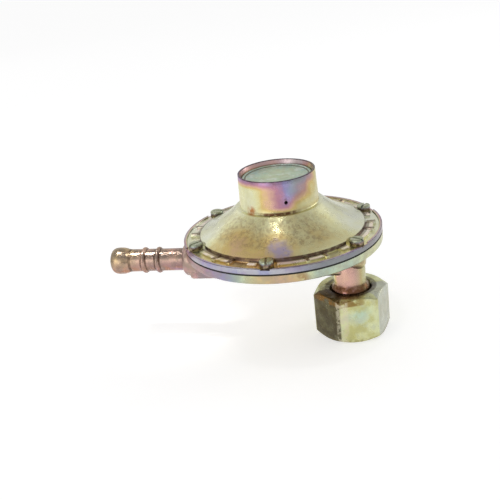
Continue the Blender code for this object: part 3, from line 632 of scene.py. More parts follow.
# %% The lands and their end blocks
SCREW_ANGLES = [30 + 60 * k for k in range(6)]
SCREW_CIRCLE = 36.4
LAND_HALF_ANGLE = 24.0
LAND_INNER = 32.4
LAND_OUTER = 36.4
LAND_TOP = FLOOR + 0.8
BLOCK_TOP = FLOOR + 1.2
HIDDEN_FOOT = 0.4
land_bottom = FLOOR - HIDDEN_FOOT

start_clean()
bpy.ops.mesh.primitive_plane_add(size=1, location=(0, 0, 0))
land = just_added("land")
land.scale = ((LAND_OUTER - LAND_INNER) * MM, (LAND_TOP - land_bottom) * MM, 1)
settle(land, turn=(90, 0, 0))
settle(land, at=((LAND_INNER + LAND_OUTER) / 2, 0, (land_bottom + LAND_TOP) / 2))
settle(land, turn=(0, 0, -LAND_HALF_ANGLE))
edit("SELECT")
bpy.ops.mesh.spin(steps=24, angle=math.radians(2 * LAND_HALF_ANGLE), center=(0, 0, 0), axis=(0, 0, 1))
merge_points()
face_outwards()
settle(land)
print("land:", len(land.data.polygons), "faces,", open_edge_count(land), "open edges")
combine(bonnet, join_pieces(copies_round(land, SCREW_ANGLES), "lands"), "UNION")


def end_block(side):
    """A block with a smaller top, at one end of the land on the X axis."""
    piece = block("end_block", (4.0, 1.5, BLOCK_TOP - land_bottom), (0, 0, 0))
    edit("DESELECT")
    shape = bmesh.from_edit_mesh(piece.data)
    for face in shape.faces:
        face.select_set(face.normal.z > 0.9)
    bmesh.update_edit_mesh(piece.data)
    bpy.ops.transform.resize(value=(0.86, 0.80, 1.0), center_override=(0, 0, 0))
    settle(piece, at=(35.6, 0, (BLOCK_TOP + land_bottom) / 2))
    return settle(piece, turn=(0, 0, side * LAND_HALF_ANGLE))


end_blocks = [made for side in (-1, 1) for made in copies_round(end_block(side), SCREW_ANGLES)]
combine(bonnet, join_pieces(end_blocks, "end_blocks"), "UNION")

# %% Cut the pockets, the screw holes and the vent
SCREW_HOLE = 1.95


def on_screw_circle(angle):
    return (SCREW_CIRCLE * math.cos(math.radians(angle)), SCREW_CIRCLE * math.sin(math.radians(angle)))


def cut_at_screws(piece, name, radius, low, high, steps=32):
    """Cuts an upright hole at each cover screw."""
    rods = [rod("hole", radius, low, high, on_screw_circle(angle), steps) for angle in SCREW_ANGLES]
    combine(piece, join_pieces(rods, name), "DIFFERENCE")


cut_at_screws(bonnet, "pockets", 4.0, FLOOR - 0.05, LEDGE, steps=64)
cut_at_screws(bonnet, "screw_holes", SCREW_HOLE, BONNET_BOTTOM - 1, FLOOR + 1)
vent = settle(rod("vent", 0.7, 11.0, 17.5, steps=32), turn=(0, 90, 0))
vent = settle(settle(vent, turn=(0, 0, -69.5)), at=(0, 0, 35.7))
combine(bonnet, vent, "DIFFERENCE")
round_edges(bonnet, 0.16, 2, 34)
hand_over(bonnet, "housing", ["bonnet"], bonnet_finish)

# %% [markdown]
# ## The closing cap
# A thin disc closes the tower a little below its rim. It is slightly crowned and has a rolled edge, so
# its outline has a few rings.

# %% The cap and its finish
def cap_film(point):
    return rise(Place(point).radius, 4.0, 14.0, 0.86, 0.80)


def cap_layers(point):
    """Yellow and pale blotches, and darker rings in the groove inside the rolled edge and on the edge's outer
    side.
    """
    radius = Place(point).radius
    return (
        (rise(noise(point, 2.6, 6.0, 0.75), 0.46, 0.58, 0.0, 0.44), (0.74, 0.73, 0.60)),
        (rise(noise(point, 4.0, 4.0, 0.7), 0.52, 0.62, 0.0, 0.55), (0.90, 0.92, 0.89)),
        (within(radius, 12.45, 12.75, 0.25) * 0.8, (0.36, 0.33, 0.24)),
        (rise(radius, 13.45, 13.7, 0.0, 0.75), (0.36, 0.32, 0.24)),
    )


cap_finish = chromate("cap_chromate", cap_film, cap_layers, blotch=0.09, shine=0.42, skin=0.12, metallic=0.75)
CAP_EDGE = 13.8
CAP_TOP = 42.2
CAP_BOTTOM = 41.4
cap_outline = [(1.0, CAP_TOP), (6.0, CAP_TOP - 0.02), (10.5, CAP_TOP - 0.07), (12.5, CAP_TOP - 0.12)]
cap_outline += [(12.8, CAP_TOP), (13.0, CAP_TOP + 0.28), (13.3, CAP_TOP + 0.36)]
cap_outline += [(CAP_EDGE - 0.15, CAP_TOP + 0.28), (CAP_EDGE, CAP_TOP + 0.05)]
cap_outline += [(CAP_EDGE, CAP_BOTTOM), (1.0, CAP_BOTTOM)]
cap = turn_piece("closing_cap", cap_outline, steps=144, ends="fill")
hand_over(cap, "housing", ["seal_cap"], cap_finish)

# %% [markdown]
# ## The lower body
# The lower casting is a shallow dish with a flange. A tube runs across under it, from the nozzle to the
# inlet, and a round pad stands in its middle. The dish is turned with its hollow inside, then the tube
# and the pad are joined on and bored.

# %% The lower body's film
INLET_X = 25.8
INLET = (INLET_X, 0.0)
TUBE_AXIS = 7.3


def body_film(point):
    at = Place(point)
    film = rise(at.facing(-170.0), 0.05, 0.95, 0.98, 0.40) + rise(at.facing(-86.0), 0.90, 0.99, 0.0, 0.17)
    film += rise(at.facing(-52.0), 0.90, 0.99, 0.0, -0.14)
    under = noise(point, 14.0, 4.0) * 0.8 - 0.22 + rise(at.x, -20.0, -34.0, 0.0, 0.22)
    film = blend_to(under, film, rise(at.radius, 36.5, 38.5))
    inlet = Place(point, INLET)
    pink = rise(inlet.facing(-95.0), 0.35, 0.85, 0.12, 0.38)
    return blend_to(film, pink, rise(inlet.radius, 7.6, 7.0) * rise(at.z, 9.5, 7.5))


def body_layers(point):
    at = Place(point)
    ragged = noise(point, 2.6, 4.0)
    low = rise(at.z, 12.4, 11.6) * rise(ragged, 0.38, 0.62, 0.05, 0.30)
    low *= rise(Place(point, INLET).radius, 7.0, 7.6)
    patch = spot(point, (13.0, -37.8, 14.5), 0.8, 3.0) * rise(ragged, 0.38, 0.55, 0.1, 0.7)
    return (
        (rise(ragged, 0.35, 0.60, 0.25, 0.55), (0.62, 0.60, 0.54)),
        (low, (0.50, 0.45, 0.38)),
        (patch, (0.62, 0.46, 0.28)),
        (rise(at.x, -40.0, -42.0) * 0.25, (0.60, 0.46, 0.50)),
    )


body_finish = chromate("body_chromate", body_film, body_layers, shine=0.31)

# %% Turn the dish and close its middle
FLANGE_TOP = 16.6 + SEAM
FLANGE_BOTTOM = 13.4
DISH_BOTTOM = 6.0
CHAMBER_FLOOR = 8.2
chamber = [(30.0, 12.8), (23.5, 9.2), (20.5, CHAMBER_FLOOR)]
dish = [(30.8, FLANGE_TOP), *chamber, (1.0, CHAMBER_FLOOR)]
dish += [(1.0, DISH_BOTTOM), (21.2, DISH_BOTTOM), (22.6, 6.15), (24.0, 6.55), (25.5, 7.2)]
dish += [(28.6, 9.1), (31.4, 10.9), (32.6, 11.5), (34.5, 12.3), (36.5, 12.9)]
dish += [(39.5, FLANGE_BOTTOM), (FLANGE_RADIUS, FLANGE_BOTTOM + 0.5), (FLANGE_RADIUS, FLANGE_TOP)]
body = turn_piece("regulator_body", dish, steps=192)
combine(body, rod("plug", 2.0, DISH_BOTTOM, CHAMBER_FLOOR, steps=48), "UNION")

# %% Join the tube and the pad
TUBE_RADIUS = 7.0
OUTLET_END = -42.6
TUBE_END = INLET_X + TUBE_RADIUS


def along_tube(piece):
    """Lays a piece that stands upright at the origin along the tube."""
    return settle(piece, turn=(0, 90, 0), at=(0, 0, TUBE_AXIS))


tube_outline = [(3.85, TUBE_END - 0.02), (5.0, TUBE_END - 0.6), (6.16, TUBE_END - 1.75)]
tube_outline += [(6.7, TUBE_END - 3.0), (TUBE_RADIUS, TUBE_END - 4.2), (TUBE_RADIUS, OUTLET_END + 2.0)]
tube_outline += [(TUBE_RADIUS - 0.25, OUTLET_END + 0.9), (TUBE_RADIUS - 0.8, OUTLET_END + 0.25)]
tube_outline += [(TUBE_RADIUS - 1.5, OUTLET_END)]
combine(body, along_tube(turn_piece("tube", tube_outline, steps=96, ends="fill")), "UNION")
bar = block("flat_under_the_tube", (64.0, 12.4, 7.0), (-8.0, 0, 3.8))
combine(body, round_edges(bar, 1.6, 4), "UNION")
combine(body, turn_piece("pad", [(10.0, 6.5), (9.0, 0.5), (8.5, 0.0)], steps=96, ends="fill"), "UNION")

# %% Cut the chamber, the bores and the screw holes
chamber_outline = [(30.8, 18.0), (30.8, 16.0), *chamber]
for tool in (
    turn_piece("chamber", chamber_outline, steps=96, ends="fill"),
    along_tube(rod("bore", 4.9, OUTLET_END - 1, OUTLET_END + 8.2, steps=64)),
    along_tube(rod("gas_way", 3.5, OUTLET_END + 7, 9.0, steps=48)),
    rod("spot_face", 6.6, -8.0, 4.5, INLET, 96),
    rod("stub_hole", 4.8, -8.0, 5.3, INLET, 64),
):
    combine(body, tool, "DIFFERENCE")
cut_at_screws(body, "body_holes", SCREW_HOLE, 10.0, FLANGE_TOP + 1)
round_edges(body, 0.3, 3, 34)
hand_over(body, "housing", ["lower_body"], body_finish)

# %% [markdown]
# ## The hose nozzle
# The nozzle is turned from bar. Only the corners of its outline are given, and a smooth curve through
# them adds the points in between, so that the bulb runs into the neck without a step.

# %% A smooth outline through a few points
def smooth_outline(points, per_gap=4):
    """Points on a smooth curve through the given (radius, height) points."""
    ends = [points[0]] + list(points) + [points[-1]]
    made = []
    for before, first, second, after in zip(ends, ends[1:], ends[2:], ends[3:]):
        for k in range(per_gap):
            t = k / per_gap
            made.append(tuple(
                0.5 * (2 * b + (c - a) * t + (2 * a - 5 * b + 4 * c - d) * t * t
                       + (3 * b - a - 3 * c + d) * t * t * t)
                for a, b, c, d in zip(before, first, second, after)
            ))
    return made + [points[-1]]


NECK = 4.7
NOZZLE_TIP = 74.9
NOZZLE_ROOT = 34.6
nozzle_outline = [(2.5, NOZZLE_ROOT), (2.5, NOZZLE_TIP - 0.4), (2.7, NOZZLE_TIP - 0.08), (3.0, NOZZLE_TIP)]
bulb = [(3.7, NOZZLE_TIP), (4.85, 74.2), (5.5, 73.0), (5.7, 71.2), (5.55, 69.2), (5.05, 67.4)]
nozzle_outline += smooth_outline(bulb + [(NECK + 0.1, 66.4)])
for rib in (60.1, 53.9):
    nozzle_outline += [(NECK + 0.05, rib + 1.5)]
    nozzle_outline += smooth_outline([
        (NECK + 0.05, rib + 1.05), (5.2, rib + 0.75), (5.48, rib + 0.3),
        (5.48, rib - 0.3), (5.2, rib - 0.75), (NECK + 0.05, rib - 1.05)], 3)
nozzle_outline += [(NECK, rib - 1.6), (NECK, NOZZLE_ROOT + 0.4), (NECK - 0.4, NOZZLE_ROOT)]

# %% Turn the nozzle and lay it along the tube
def nozzle_film(point):
    at = Place(point)
    return rise(at.x, -72.0, -40.0, 0.32, 0.44) + rise(at.z, 3.0, 11.0, 0.05, -0.04)


def nozzle_layers(point):
    """Dull patches, and darker brown in the grooves beside the rings and behind the bulb."""
    at = Place(point)
    above_axis = at.z - TUBE_AXIS
    off_axis = (above_axis * above_axis + at.y * at.y).then("SQRT")
    near = within(at.x, -61.4, -58.8, 0.3).then("MAXIMUM", within(at.x, -55.2, -52.6, 0.3))
    near = near.then("MAXIMUM", within(at.x, -66.6, -65.9, 0.5))
    groove = rise(off_axis, 4.78, 5.05, 1.0, 0.0) * near
    groove *= rise(noise(point, 1.6, 4.0), 0.30, 0.62, 0.35, 0.80)
    tip = rise(at.x, -72.5, -75.0) * rise(noise(point, 3.0), 0.35, 0.65, 0.1, 0.5)
    under = rise(at.z, 7.5, 4.5) * rise(noise(point, 2.4, 5.0), 0.42, 0.58, 0.0, 0.60)
    return (
        (rise(noise(point, 5.0, 5.0), 0.35, 0.65, 0.35, 0.85), (0.52, 0.47, 0.43)),
        (under, (0.70, 0.48, 0.34)),
        (groove, (0.30, 0.23, 0.18)),
        (tip, (0.48, 0.44, 0.38)),
    )


nozzle_finish = chromate("nozzle_chromate", nozzle_film, nozzle_layers, blotch=0.09, shine=0.24)
nozzle = turn_piece("hose_nozzle_turned", nozzle_outline, steps=112)
settle(nozzle, turn=(0, -90, 0), at=(0, 0, TUBE_AXIS))
hand_over(nozzle, "housing", ["hose_nozzle"], nozzle_finish, 30)

# %% [markdown]
# ## The inlet nipple
# A short spigot hangs from the body. Its collar flares out inside the nut's hole, and its head, which
# the nut pulls on, sits inside the nut. The head has a seat for the gasket and a bore for the filter.

# %% The nipple
NUT_TOP = -6.6
HEAD_TOP = -10.0
HEAD_END = -15.0
HEAD_SEAT = HEAD_END + 1.6
SPIGOT = 6.5


def nipple_film(point):
    at = Place(point, INLET)
    return rise(at.facing(-95.0), 0.35, 0.85, 0.12, 0.37) + rise(at.z, -7.0, -3.0, 0.04, 0.0)


def nipple_layers(point):
    at = Place(point, INLET)
    # Painted shade: the spigot is darkened towards its foot, where it goes into the nut.
    low = rise(at.z, -3.0, -4.9) * rise(noise(point, 1.8, 4.0), 0.25, 0.55, 0.50, 0.95)
    return (rise(at.facing(-10.0), 0.3, 0.9, 0.0, 0.6), (0.62, 0.60, 0.48)), (low, (0.42, 0.28, 0.18))


nipple_finish = chromate("nipple_chromate", nipple_film, nipple_layers, blotch=0.07, shine=0.22)
nipple_outline = [(2.6, 4.9), (2.6, -6.9), (3.2, -7.4), (3.2, HEAD_SEAT), (7.6, HEAD_SEAT), (7.6, HEAD_END)]
nipple_outline += [(9.6, HEAD_END), (9.6, HEAD_TOP), (7.3, HEAD_TOP), (7.3, -8.1)]
collar = [(7.9, -7.7), (7.9, -6.9), (7.6, -6.0), (7.05, -5.0), (6.65, -4.2), (SPIGOT, -3.2)]
nipple_outline += smooth_outline(collar, 3) + [(SPIGOT, 4.4), (4.6, 4.4), (4.6, 4.9)]
nipple = round_edges(turn_piece("inlet_spigot", nipple_outline, steps=112), 0.25, 2)
hand_over(settle(nipple, at=(INLET_X, 0, 0)), "housing", ["inlet_nipple"], nipple_finish)

# %% [markdown]
# ## The union nut
# The nut begins as a six-sided cylinder whose upright edges are rounded. Keeping only what it shares
# with a turned blank chamfers both ends in one step, and gives the curved lines of a real nut. Then the
# hole and the bore are cut.

# %% The nut's hexagon, chamfers and bore
NUT_BOTTOM = -25.8
FLATS = 27.0
CORNER_RADIUS = FLATS / math.sqrt(3)
CHAMFER_RADIUS = 13.2
NUT_HOLE = 8.4
NUT_BORE = 10.0
SHOULDER = -9.8
NUT_BEARING = 18.0
start_clean()
bpy.ops.mesh.primitive_cylinder_add(vertices=6, radius=CORNER_RADIUS * MM, depth=(NUT_TOP - NUT_BOTTOM) * MM)
nut = just_added("union_nut_hexagon")
edit("DESELECT")
shape = bmesh.from_edit_mesh(nut.data)
for edge in shape.edges:
    edge.select_set(abs(edge.verts[0].co.z - edge.verts[1].co.z) > 0.001)
bmesh.update_edit_mesh(nut.data)
bpy.ops.mesh.bevel(offset=0.7 * MM, segments=5, affect="EDGES")
settle(nut, turn=(0, 0, NUT_BEARING - 90.0), at=(0, 0, (NUT_TOP + NUT_BOTTOM) / 2))
blank_side = CORNER_RADIUS + 1.0
fall = (blank_side - CHAMFER_RADIUS) * 1.6 / (CORNER_RADIUS - CHAMFER_RADIUS)
blank_outline = [(CHAMFER_RADIUS, NUT_TOP), (blank_side, NUT_TOP - fall)]
blank_outline += [(blank_side, NUT_BOTTOM + fall), (CHAMFER_RADIUS, NUT_BOTTOM)]
combine(nut, turn_piece("blank", blank_outline, steps=192, ends="fill"), "INTERSECT")
hole_outline = [(NUT_HOLE + 1.0, NUT_TOP + 0.5), (NUT_HOLE, NUT_TOP - 0.5), (NUT_HOLE, SHOULDER)]
hole_outline += [(NUT_BORE, SHOULDER), (NUT_BORE, NUT_BOTTOM + 1.0), (NUT_BORE + 2.0, NUT_BOTTOM - 1.0)]
combine(nut, turn_piece("hole", hole_outline, steps=128, ends="fill"), "DIFFERENCE")
round_edges(nut, 0.22, 3, 25)

# %% [markdown]
# The nut carries a left-hand thread. A Screw modifier winds a small triangle into a helix, and that
# helix is cut out of the bore. It falls as it turns anticlockwise, which makes it left-handed. The same
# tool winds the spring later.

# %% The left-hand thread
def standing_polygon(name, corners, radius):
    """A small polygon that stands upright, ready to be wound round Z."""
    start_clean()
    bpy.ops.mesh.primitive_circle_add(vertices=corners, radius=radius * MM, fill_type="NOTHING")
    return settle(just_added(name), turn=(90, 0, 0))


def wind(piece, turns, steps, climb):
    """Winds a polygon round Z into a closed helix that climbs by some millimetres at each turn."""
    screw = piece.modifiers.new("helix", "SCREW")
    screw.axis = "Z"
    screw.steps = steps
    screw.render_steps = steps
    screw.iterations = turns
    screw.screw_offset = climb * MM
    apply_modifier(piece, screw)
    bpy.ops.object.mode_set(mode="EDIT")
    merge_points()
    open_edges()
    bpy.ops.mesh.fill_holes(sides=0)
    face_outwards()
    print(f"{piece.name}: {turns} turns, {open_edge_count(settle(piece))} open edges")
    return piece


PITCH = 1.814
THREAD_TURNS = 6
groove = settle(standing_polygon("thread_groove", 3, 0.8), turn=(0, 90, 0))
settle(groove, at=(NUT_BORE + 0.1, 0, NUT_BOTTOM + THREAD_TURNS * PITCH - 0.6))
combine(nut, wind(groove, THREAD_TURNS, 72, -PITCH), "DIFFERENCE")
settle(nut, at=(INLET_X, 0, 0))

# %% The nut's finish: stained top, painted shade on one side, rubbed corner
def nut_film(point):
    uneven = noise(point, 5.0, 4.0, 0.6) * 8.0 + distance(point, (INLET_X + 4.6, -12.8, -14.0))
    return rise(uneven, 5.5, 11.0, 0.83, 0.96)


def nut_layers(point):
    at = Place(point, INLET)
    ragged = noise(point, 1.5, 5.0, 0.65)
    coarse = noise(point, 4.0, 4.0, 0.6)
    pale = rise(noise(point, 4.6, 4.0, 0.6), 0.42, 0.66, 0.0, 0.60)
    yellow = rise(noise(point, 6.0, 4.0), 0.42, 0.64, 0.0, 0.70)
    side = rise(at.facing(NUT_BEARING - 30.0), 0.855, 0.885) * 0.60
    # Painted shade: the face towards the left is darkened.
    painted_shade_left_face = rise(at.facing(NUT_BEARING + 210.0), 0.855, 0.885) * rise(coarse, 0.30, 0.60, 0.84, 0.95)
    shoulder = within(at.z, NUT_TOP - 2.6, NUT_TOP - 0.4, 0.5) * rise(at.facing(-112.0), 0.4, 0.9)
    shoulder *= rise(coarse, 0.42, 0.56, 0.0, 0.80)
    foot = rise(at.z, NUT_BOTTOM + 2.0, NUT_BOTTOM + 0.3) * rise(ragged, 0.36, 0.6, 0.10, 0.60)
    rub = rise(at.facing(NUT_BEARING - 118.5), 0.979, 0.993) * rise(coarse + ragged, 0.90, 1.06, 0.0, 0.60)
    left_front = rise(at.facing(-125.0), -0.1, 0.9, 0.0, 3.2)
    stain = rise(at.z, NUT_TOP - 0.6, NUT_TOP - 0.1) * rise(at.radius - left_front, 8.4, 10.8, 0.85, 0.0)
    stain *= rise(ragged, 0.34, 0.60, 0.10, 0.85)
    return (
        (pale, (0.73, 0.75, 0.66)),
        (yellow, (0.72, 0.70, 0.43)),
        (side, (0.68, 0.69, 0.70)),
        (painted_shade_left_face, (0.29, 0.25, 0.18)),
        (shoulder, (0.52, 0.38, 0.18)),
        (foot, (0.52, 0.47, 0.32)),
        (rub, (0.84, 0.81, 0.70)),
        (stain, (0.32, 0.24, 0.16)),
        # Painted shade: the hole and the bore are darkened inside.
        (rise(at.radius, 10.9, 10.2, 0.0, 0.65), (0.22, 0.16, 0.10)),
    )


nut_finish = chromate("nut_chromate", nut_film, nut_layers, blotch=0.05, shine=0.30, skin=0.09)
hand_over(nut, "nut", ["union_nut"], nut_finish, 30)

# %% [markdown]
# ## Cover screws
# One slotted cheese-head screw is modelled and copied six times. Each copy has its own mesh and its slot
# turned another way, as they stop where they are tight.

# %% The six screws
SCREW_HEAD_RADIUS = 2.7
SCREW_HEAD_BOTTOM = 19.2
SCREW_HEAD_TOP = 21.8


def screw_film(point):
    return rise(Place(point).z, SCREW_HEAD_BOTTOM, SCREW_HEAD_TOP, 0.16, 0.90)


def screw_layers(point):
    ragged = noise(point, 0.9, 4.0)
    side = rise(Place(point).z, 21.3, 20.6) * rise(ragged, 0.3, 0.6, 0.25, 0.8)
    return (rise(ragged, 0.3, 0.6, 0.35, 0.75), (0.60, 0.58, 0.50)), (side, (0.44, 0.38, 0.30))


screw_finish = chromate("screw_plating", screw_film, screw_layers, shine=0.30)
screw_outline = [(0.4, SCREW_HEAD_TOP), (1.9, SCREW_HEAD_TOP - 0.03)]
for inwards, down in ((0.35, 0.1), (0.1, 0.25), (0.0, 0.5)):
    screw_outline += [(SCREW_HEAD_RADIUS - inwards, SCREW_HEAD_TOP - down)]
screw_outline += [(SCREW_HEAD_RADIUS, SCREW_HEAD_BOTTOM), (1.75, SCREW_HEAD_BOTTOM)]
screw_outline += [(1.75, 14.1), (1.45, 13.8), (0.4, 13.8)]
master = turn_piece("cheese_head_screw", screw_outline, steps=48, ends="fill")
combine(master, block("slot", (7, 0.8, 1.8), (0, 0, SCREW_HEAD_TOP)), "DIFFERENCE")
round_edges(master, 0.08, 2, 30)
for number, angle in enumerate(SCREW_ANGLES, start=1):
    screw_copy = copy_of(master, f"slotted_screw_{number}")
    settle(screw_copy, turn=(0, 0, 50.0 * number + 28.0))
    settle(screw_copy, at=(*on_screw_circle(angle), 0))
    hand_over(screw_copy, "housing", [f"cover_screw_{number}"], screw_finish)
bpy.data.objects.remove(master, do_unlink=True)

# %% [markdown]
# ## Plain finishes for what is inside
# Rubber, spring wire, plated steel, brass, plastic and gauze. Each has its own grain, a little colour
# change and a roughness that isn't even.

# %% A finish from a colour, a grain and a shine
def plain_finish(name, color, other, metallic, roughness, grain=1.2, depth=0.02, stretch=(1, 1, 1)):
    material, shader, point = blank_finish(name, metallic)
    pulled = add_node(point.tree, "VectorMath", {0: point, 1: stretch}, operation="MULTIPLY")
    fine = noise(pulled, grain, 4.0)
    tone = mix(rise(noise(point, 5.0, 4.0), 0.3, 0.7), color, other)
    tone = mix(rise(fine, 0.35, 0.75, 0.0, 0.35), tone, [channel * 0.7 for channel in color])
    dress(shader, tone, fine, depth, rise(fine, 0.2, 0.8, roughness * 0.8, roughness * 1.3))
    return material


def gauze_finish(name):
    """Woven wire: two waves that cross, one round the thimble and one along it."""
    material, shader, point = blank_finish(name, 0.9, 0.45)
    at = Place(point, INLET)
    round_wires = (at.z * (2 * math.pi / 0.35)).then("SINE")
    long_wires = (at.y.then("ARCTAN2", at.x) * 54.0).then("SINE")
    weave = round_wires.then("MAXIMUM", long_wires)
    tone = mix(rise(weave, -0.2, 0.6), (0.30, 0.26, 0.19), (0.74, 0.68, 0.52))
    dress(shader, tone, weave, 0.08)
    return material


rubber = plain_finish("moulded_rubber", (0.17, 0.17, 0.17), (0.22, 0.21, 0.20), 0.0, 0.62, 0.6, 0.03)
wire_steel = plain_finish("drawn_spring_wire", (0.60, 0.59, 0.57), (0.52, 0.50, 0.47), 1.0, 0.30, 0.5)
plated = plain_finish("bright_zinc_plate", (0.78, 0.79, 0.80), (0.70, 0.72, 0.76), 1.0, 0.28, 0.9)
brass_colors = (0.86, 0.74, 0.46), (0.80, 0.66, 0.38)
brass = plain_finish("turned_brass", *brass_colors, 1.0, 0.25, 0.4, stretch=(4, 1, 1))
plastic = plain_finish("white_acetal", (0.90, 0.89, 0.85), (0.87, 0.85, 0.80), 0.0, 0.42, 0.8)
gauze = gauze_finish("brass_gauze")

# %% [markdown]
# ## Pieces inside
# The jet, the plunger and its seat lie along the tube. The plate, the washers, the gasket and the filter
# stand upright. Each one is a short outline.

# %% Pieces along the tube
jet_outline = [(1.76, 9.2), (3.3, 9.2), (3.3, 3.3), (2.2, 3.1), (1.72, 2.35), (1.6, 2.2), (1.2, 2.2)]
jet_outline += [(1.1, 2.35), (1.1, 8.2), (1.76, 8.4)]
jet = round_edges(turn_piece("brass_jet", jet_outline, steps=64), 0.08)
hand_over(along_tube(jet), "housing", ["valve_jet"], brass)

LEVER_X = -11.0
plunger_outline = [(0.5, -0.61), (2.8, -0.61), (3.2, -1.0), (3.2, -14.1), (2.8, -14.5), (0.5, -14.5)]
plunger = along_tube(turn_piece("sliding_plunger", plunger_outline, steps=64, ends="fill"))
combine(plunger, block("window", (3.0, 7.4, 6.4), (LEVER_X, 0, 8.7)), "DIFFERENCE")
hand_over(round_edges(plunger, 0.12), "plunger", ["valve_plunger"], plated)
seat_outline = [(0.4, 0.99), (2.4, 0.99), (2.5, 0.89), (2.5, -0.4), (0.4, -0.4)]
seat = along_tube(turn_piece("rubber_seat", seat_outline, steps=64, ends="fill"))
hand_over(seat, "plunger", ["seat_pad"], rubber)

# %% Rings on an upright axis
STACK = "diaphragm_stack"
plate_outline = [(2.4, 18.6), (18.0, 18.6), (18.0, 20.2), (19.0, 20.2), (19.0, 18.0)]
plate_outline += [(18.6, 17.6), (2.4, 17.6)]
plate = round_edges(turn_piece("dished_plate", plate_outline, steps=96), 0.25, 3)
hand_over(plate, STACK, ["diaphragm_plate"], plated)


def ring(name, inner, outer, low, high, rounding, segments=2):
    outline = [(inner, high), (outer, high), (outer, low), (inner, low)]
    return round_edges(turn_piece(name, outline, steps=96), rounding, segments)


washer = ring("under_washer", 2.4, 11.6, 15.6, 16.6, 0.15)
hand_over(washer, STACK, ["support_washer"], plated)
spring_rest = ring("spring_washer", 5.0, 11.6, 35.7, 36.7, 0.15)
hand_over(spring_rest, "spring_rest", ["spring_seat"], plated)
gasket = ring("nipple_gasket", 3.6, 7.4, -15.6, -13.6, 0.25, 3)
hand_over(settle(gasket, at=(INLET_X, 0, 0)), "housing", ["inlet_gasket"], rubber)

# %% The filter, the stem and the adjusting screw
filter_outline = [(0.4, -7.8), (2.2, -7.8), (2.75, -8.0), (3.0, -8.6), (3.0, -13.2), (2.6, -13.2)]
filter_outline += [(2.6, -8.6), (2.2, -8.2), (0.4, -8.2)]
thimble = turn_piece("filter_thimble", filter_outline, steps=64, ends="fill")
hand_over(settle(thimble, at=(INLET_X, 0, 0)), "housing", ["inlet_filter"], gauze)

stem_outline = [(0.5, 19.8), (3.1, 19.8), (3.6, 19.3), (3.6, 18.8), (2.2, 18.8), (2.2, 15.0), (0.5, 15.0)]
stem = turn_piece("stem_rivet", stem_outline, steps=64, ends="fill")
combine(stem, block("foot", (3.2, 5.0, 4.2), (0, 0, 13.3)), "UNION")
combine(stem, block("window", (4.2, 3.2, 2.4), (0, 0, 13.4)), "DIFFERENCE")
hand_over(round_edges(stem, 0.12), STACK, ["stem"], plated)

SOCKET_FLATS = 10.0
adjuster_outline = [(0.5, 40.3), (12.0, 40.3), (12.5, 39.8), (12.5, 37.4), (12.0, 36.9), (0.5, 36.9)]
adjuster = turn_piece("adjusting_plug", adjuster_outline, steps=96, ends="fill")
combine(adjuster, rod("socket", SOCKET_FLATS / math.sqrt(3), 35.0, 42.0, steps=6), "DIFFERENCE")
hand_over(round_edges(adjuster, 0.15), "adjuster", ["adjusting_screw"], plastic)

# %% [markdown]
# The lever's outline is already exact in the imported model. So its mesh is copied, its points are merged,
# its flat faces are made whole again, and its edges are rounded.

# %% The lever and its pin
pin = settle(rod("pivot_pin", 1.0, -6.7, 6.7, steps=40), turn=(90, 0, 0))
pin = round_edges(settle(pin, at=(LEVER_X, 0, 13.4)), 0.15)
hand_over(pin, "housing", ["lever_pin"], plated)

packed_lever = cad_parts["lever"]
lever = copy_of(packed_lever, "bell_crank")
lever.data.transform(packed_lever.matrix_world)
lever.parent = None
lever.matrix_world = Matrix.Identity(4)
take(lever)
bpy.ops.object.mode_set(mode="EDIT")
merge_points()
bpy.ops.mesh.dissolve_limited(angle_limit=math.radians(2))
face_outwards()
print("lever:", open_edge_count(settle(lever)), "open edges")
hand_over(round_edges(lever, 0.10, 2, 40), "valve_lever", ["lever"], plated)

# %% [markdown]
# ## The diaphragm
# The rubber disc is gripped at its rim and carried by the plate at its middle, so its half-wave has to bend
# between the two. It is made as two pieces that meet in the trough of the wave: the rim stays with the
# housing, and the middle rides on no body.

# %% The diaphragm in two pieces
WAVE_INNER = 21.5
WAVE_OUTER = 30.0
WAVE_DEPTH = 2.6
SPLIT = (WAVE_INNER + WAVE_OUTER) / 2


def wave(radius, height):
    share = (radius - WAVE_INNER) / (WAVE_OUTER - WAVE_INNER)
    if share <= 0 or share >= 1:
        return height
    return height - WAVE_DEPTH * math.sin(math.pi * share) ** 2


def rubber_disc(name, inner, outer):
    radii = spread(inner, outer, 28)
    top = [(radius, wave(radius, 17.4)) for radius in radii]
    under = [(radius, wave(radius, 16.8)) for radius in reversed(radii)]
    return turn_piece(name, top + under, steps=96)


rim = rubber_disc("diaphragm_rim", SPLIT, 39.75)
cut_at_screws(rim, "rim_holes", 2.15, 15.0, 19.0)
hand_over(rim, "housing", ["diaphragm"], rubber)
middle = rubber_disc("diaphragm_middle", 2.4, SPLIT)
hand_over(middle, None, ["diaphragm"], rubber)
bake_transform(middle)

# %% [markdown]
# ## The main spring
# The spring is one wire of six turns, wound with the thread's tool. As it is pressed from both ends, it is
# made as two pieces: the lower turns ride on the housing, and the upper turns, under the seat that the
# adjusting screw pushes down, ride on no body.

# %% Wind the spring
SPRING_LOW = 19.7
SPRING_HIGH = 34.6
SPRING_TURNS = 6
LOWER_TURNS = 2
SPRING_PITCH = (SPRING_HIGH - SPRING_LOW) / SPRING_TURNS
SPRING_SPLIT = SPRING_LOW + SPRING_PITCH * LOWER_TURNS


def spring_piece(name, low, turns):
    wire = settle(standing_polygon(name, 18, 0.9), at=(9.4, 0, low))
    return wind(wire, turns, 60, SPRING_PITCH)


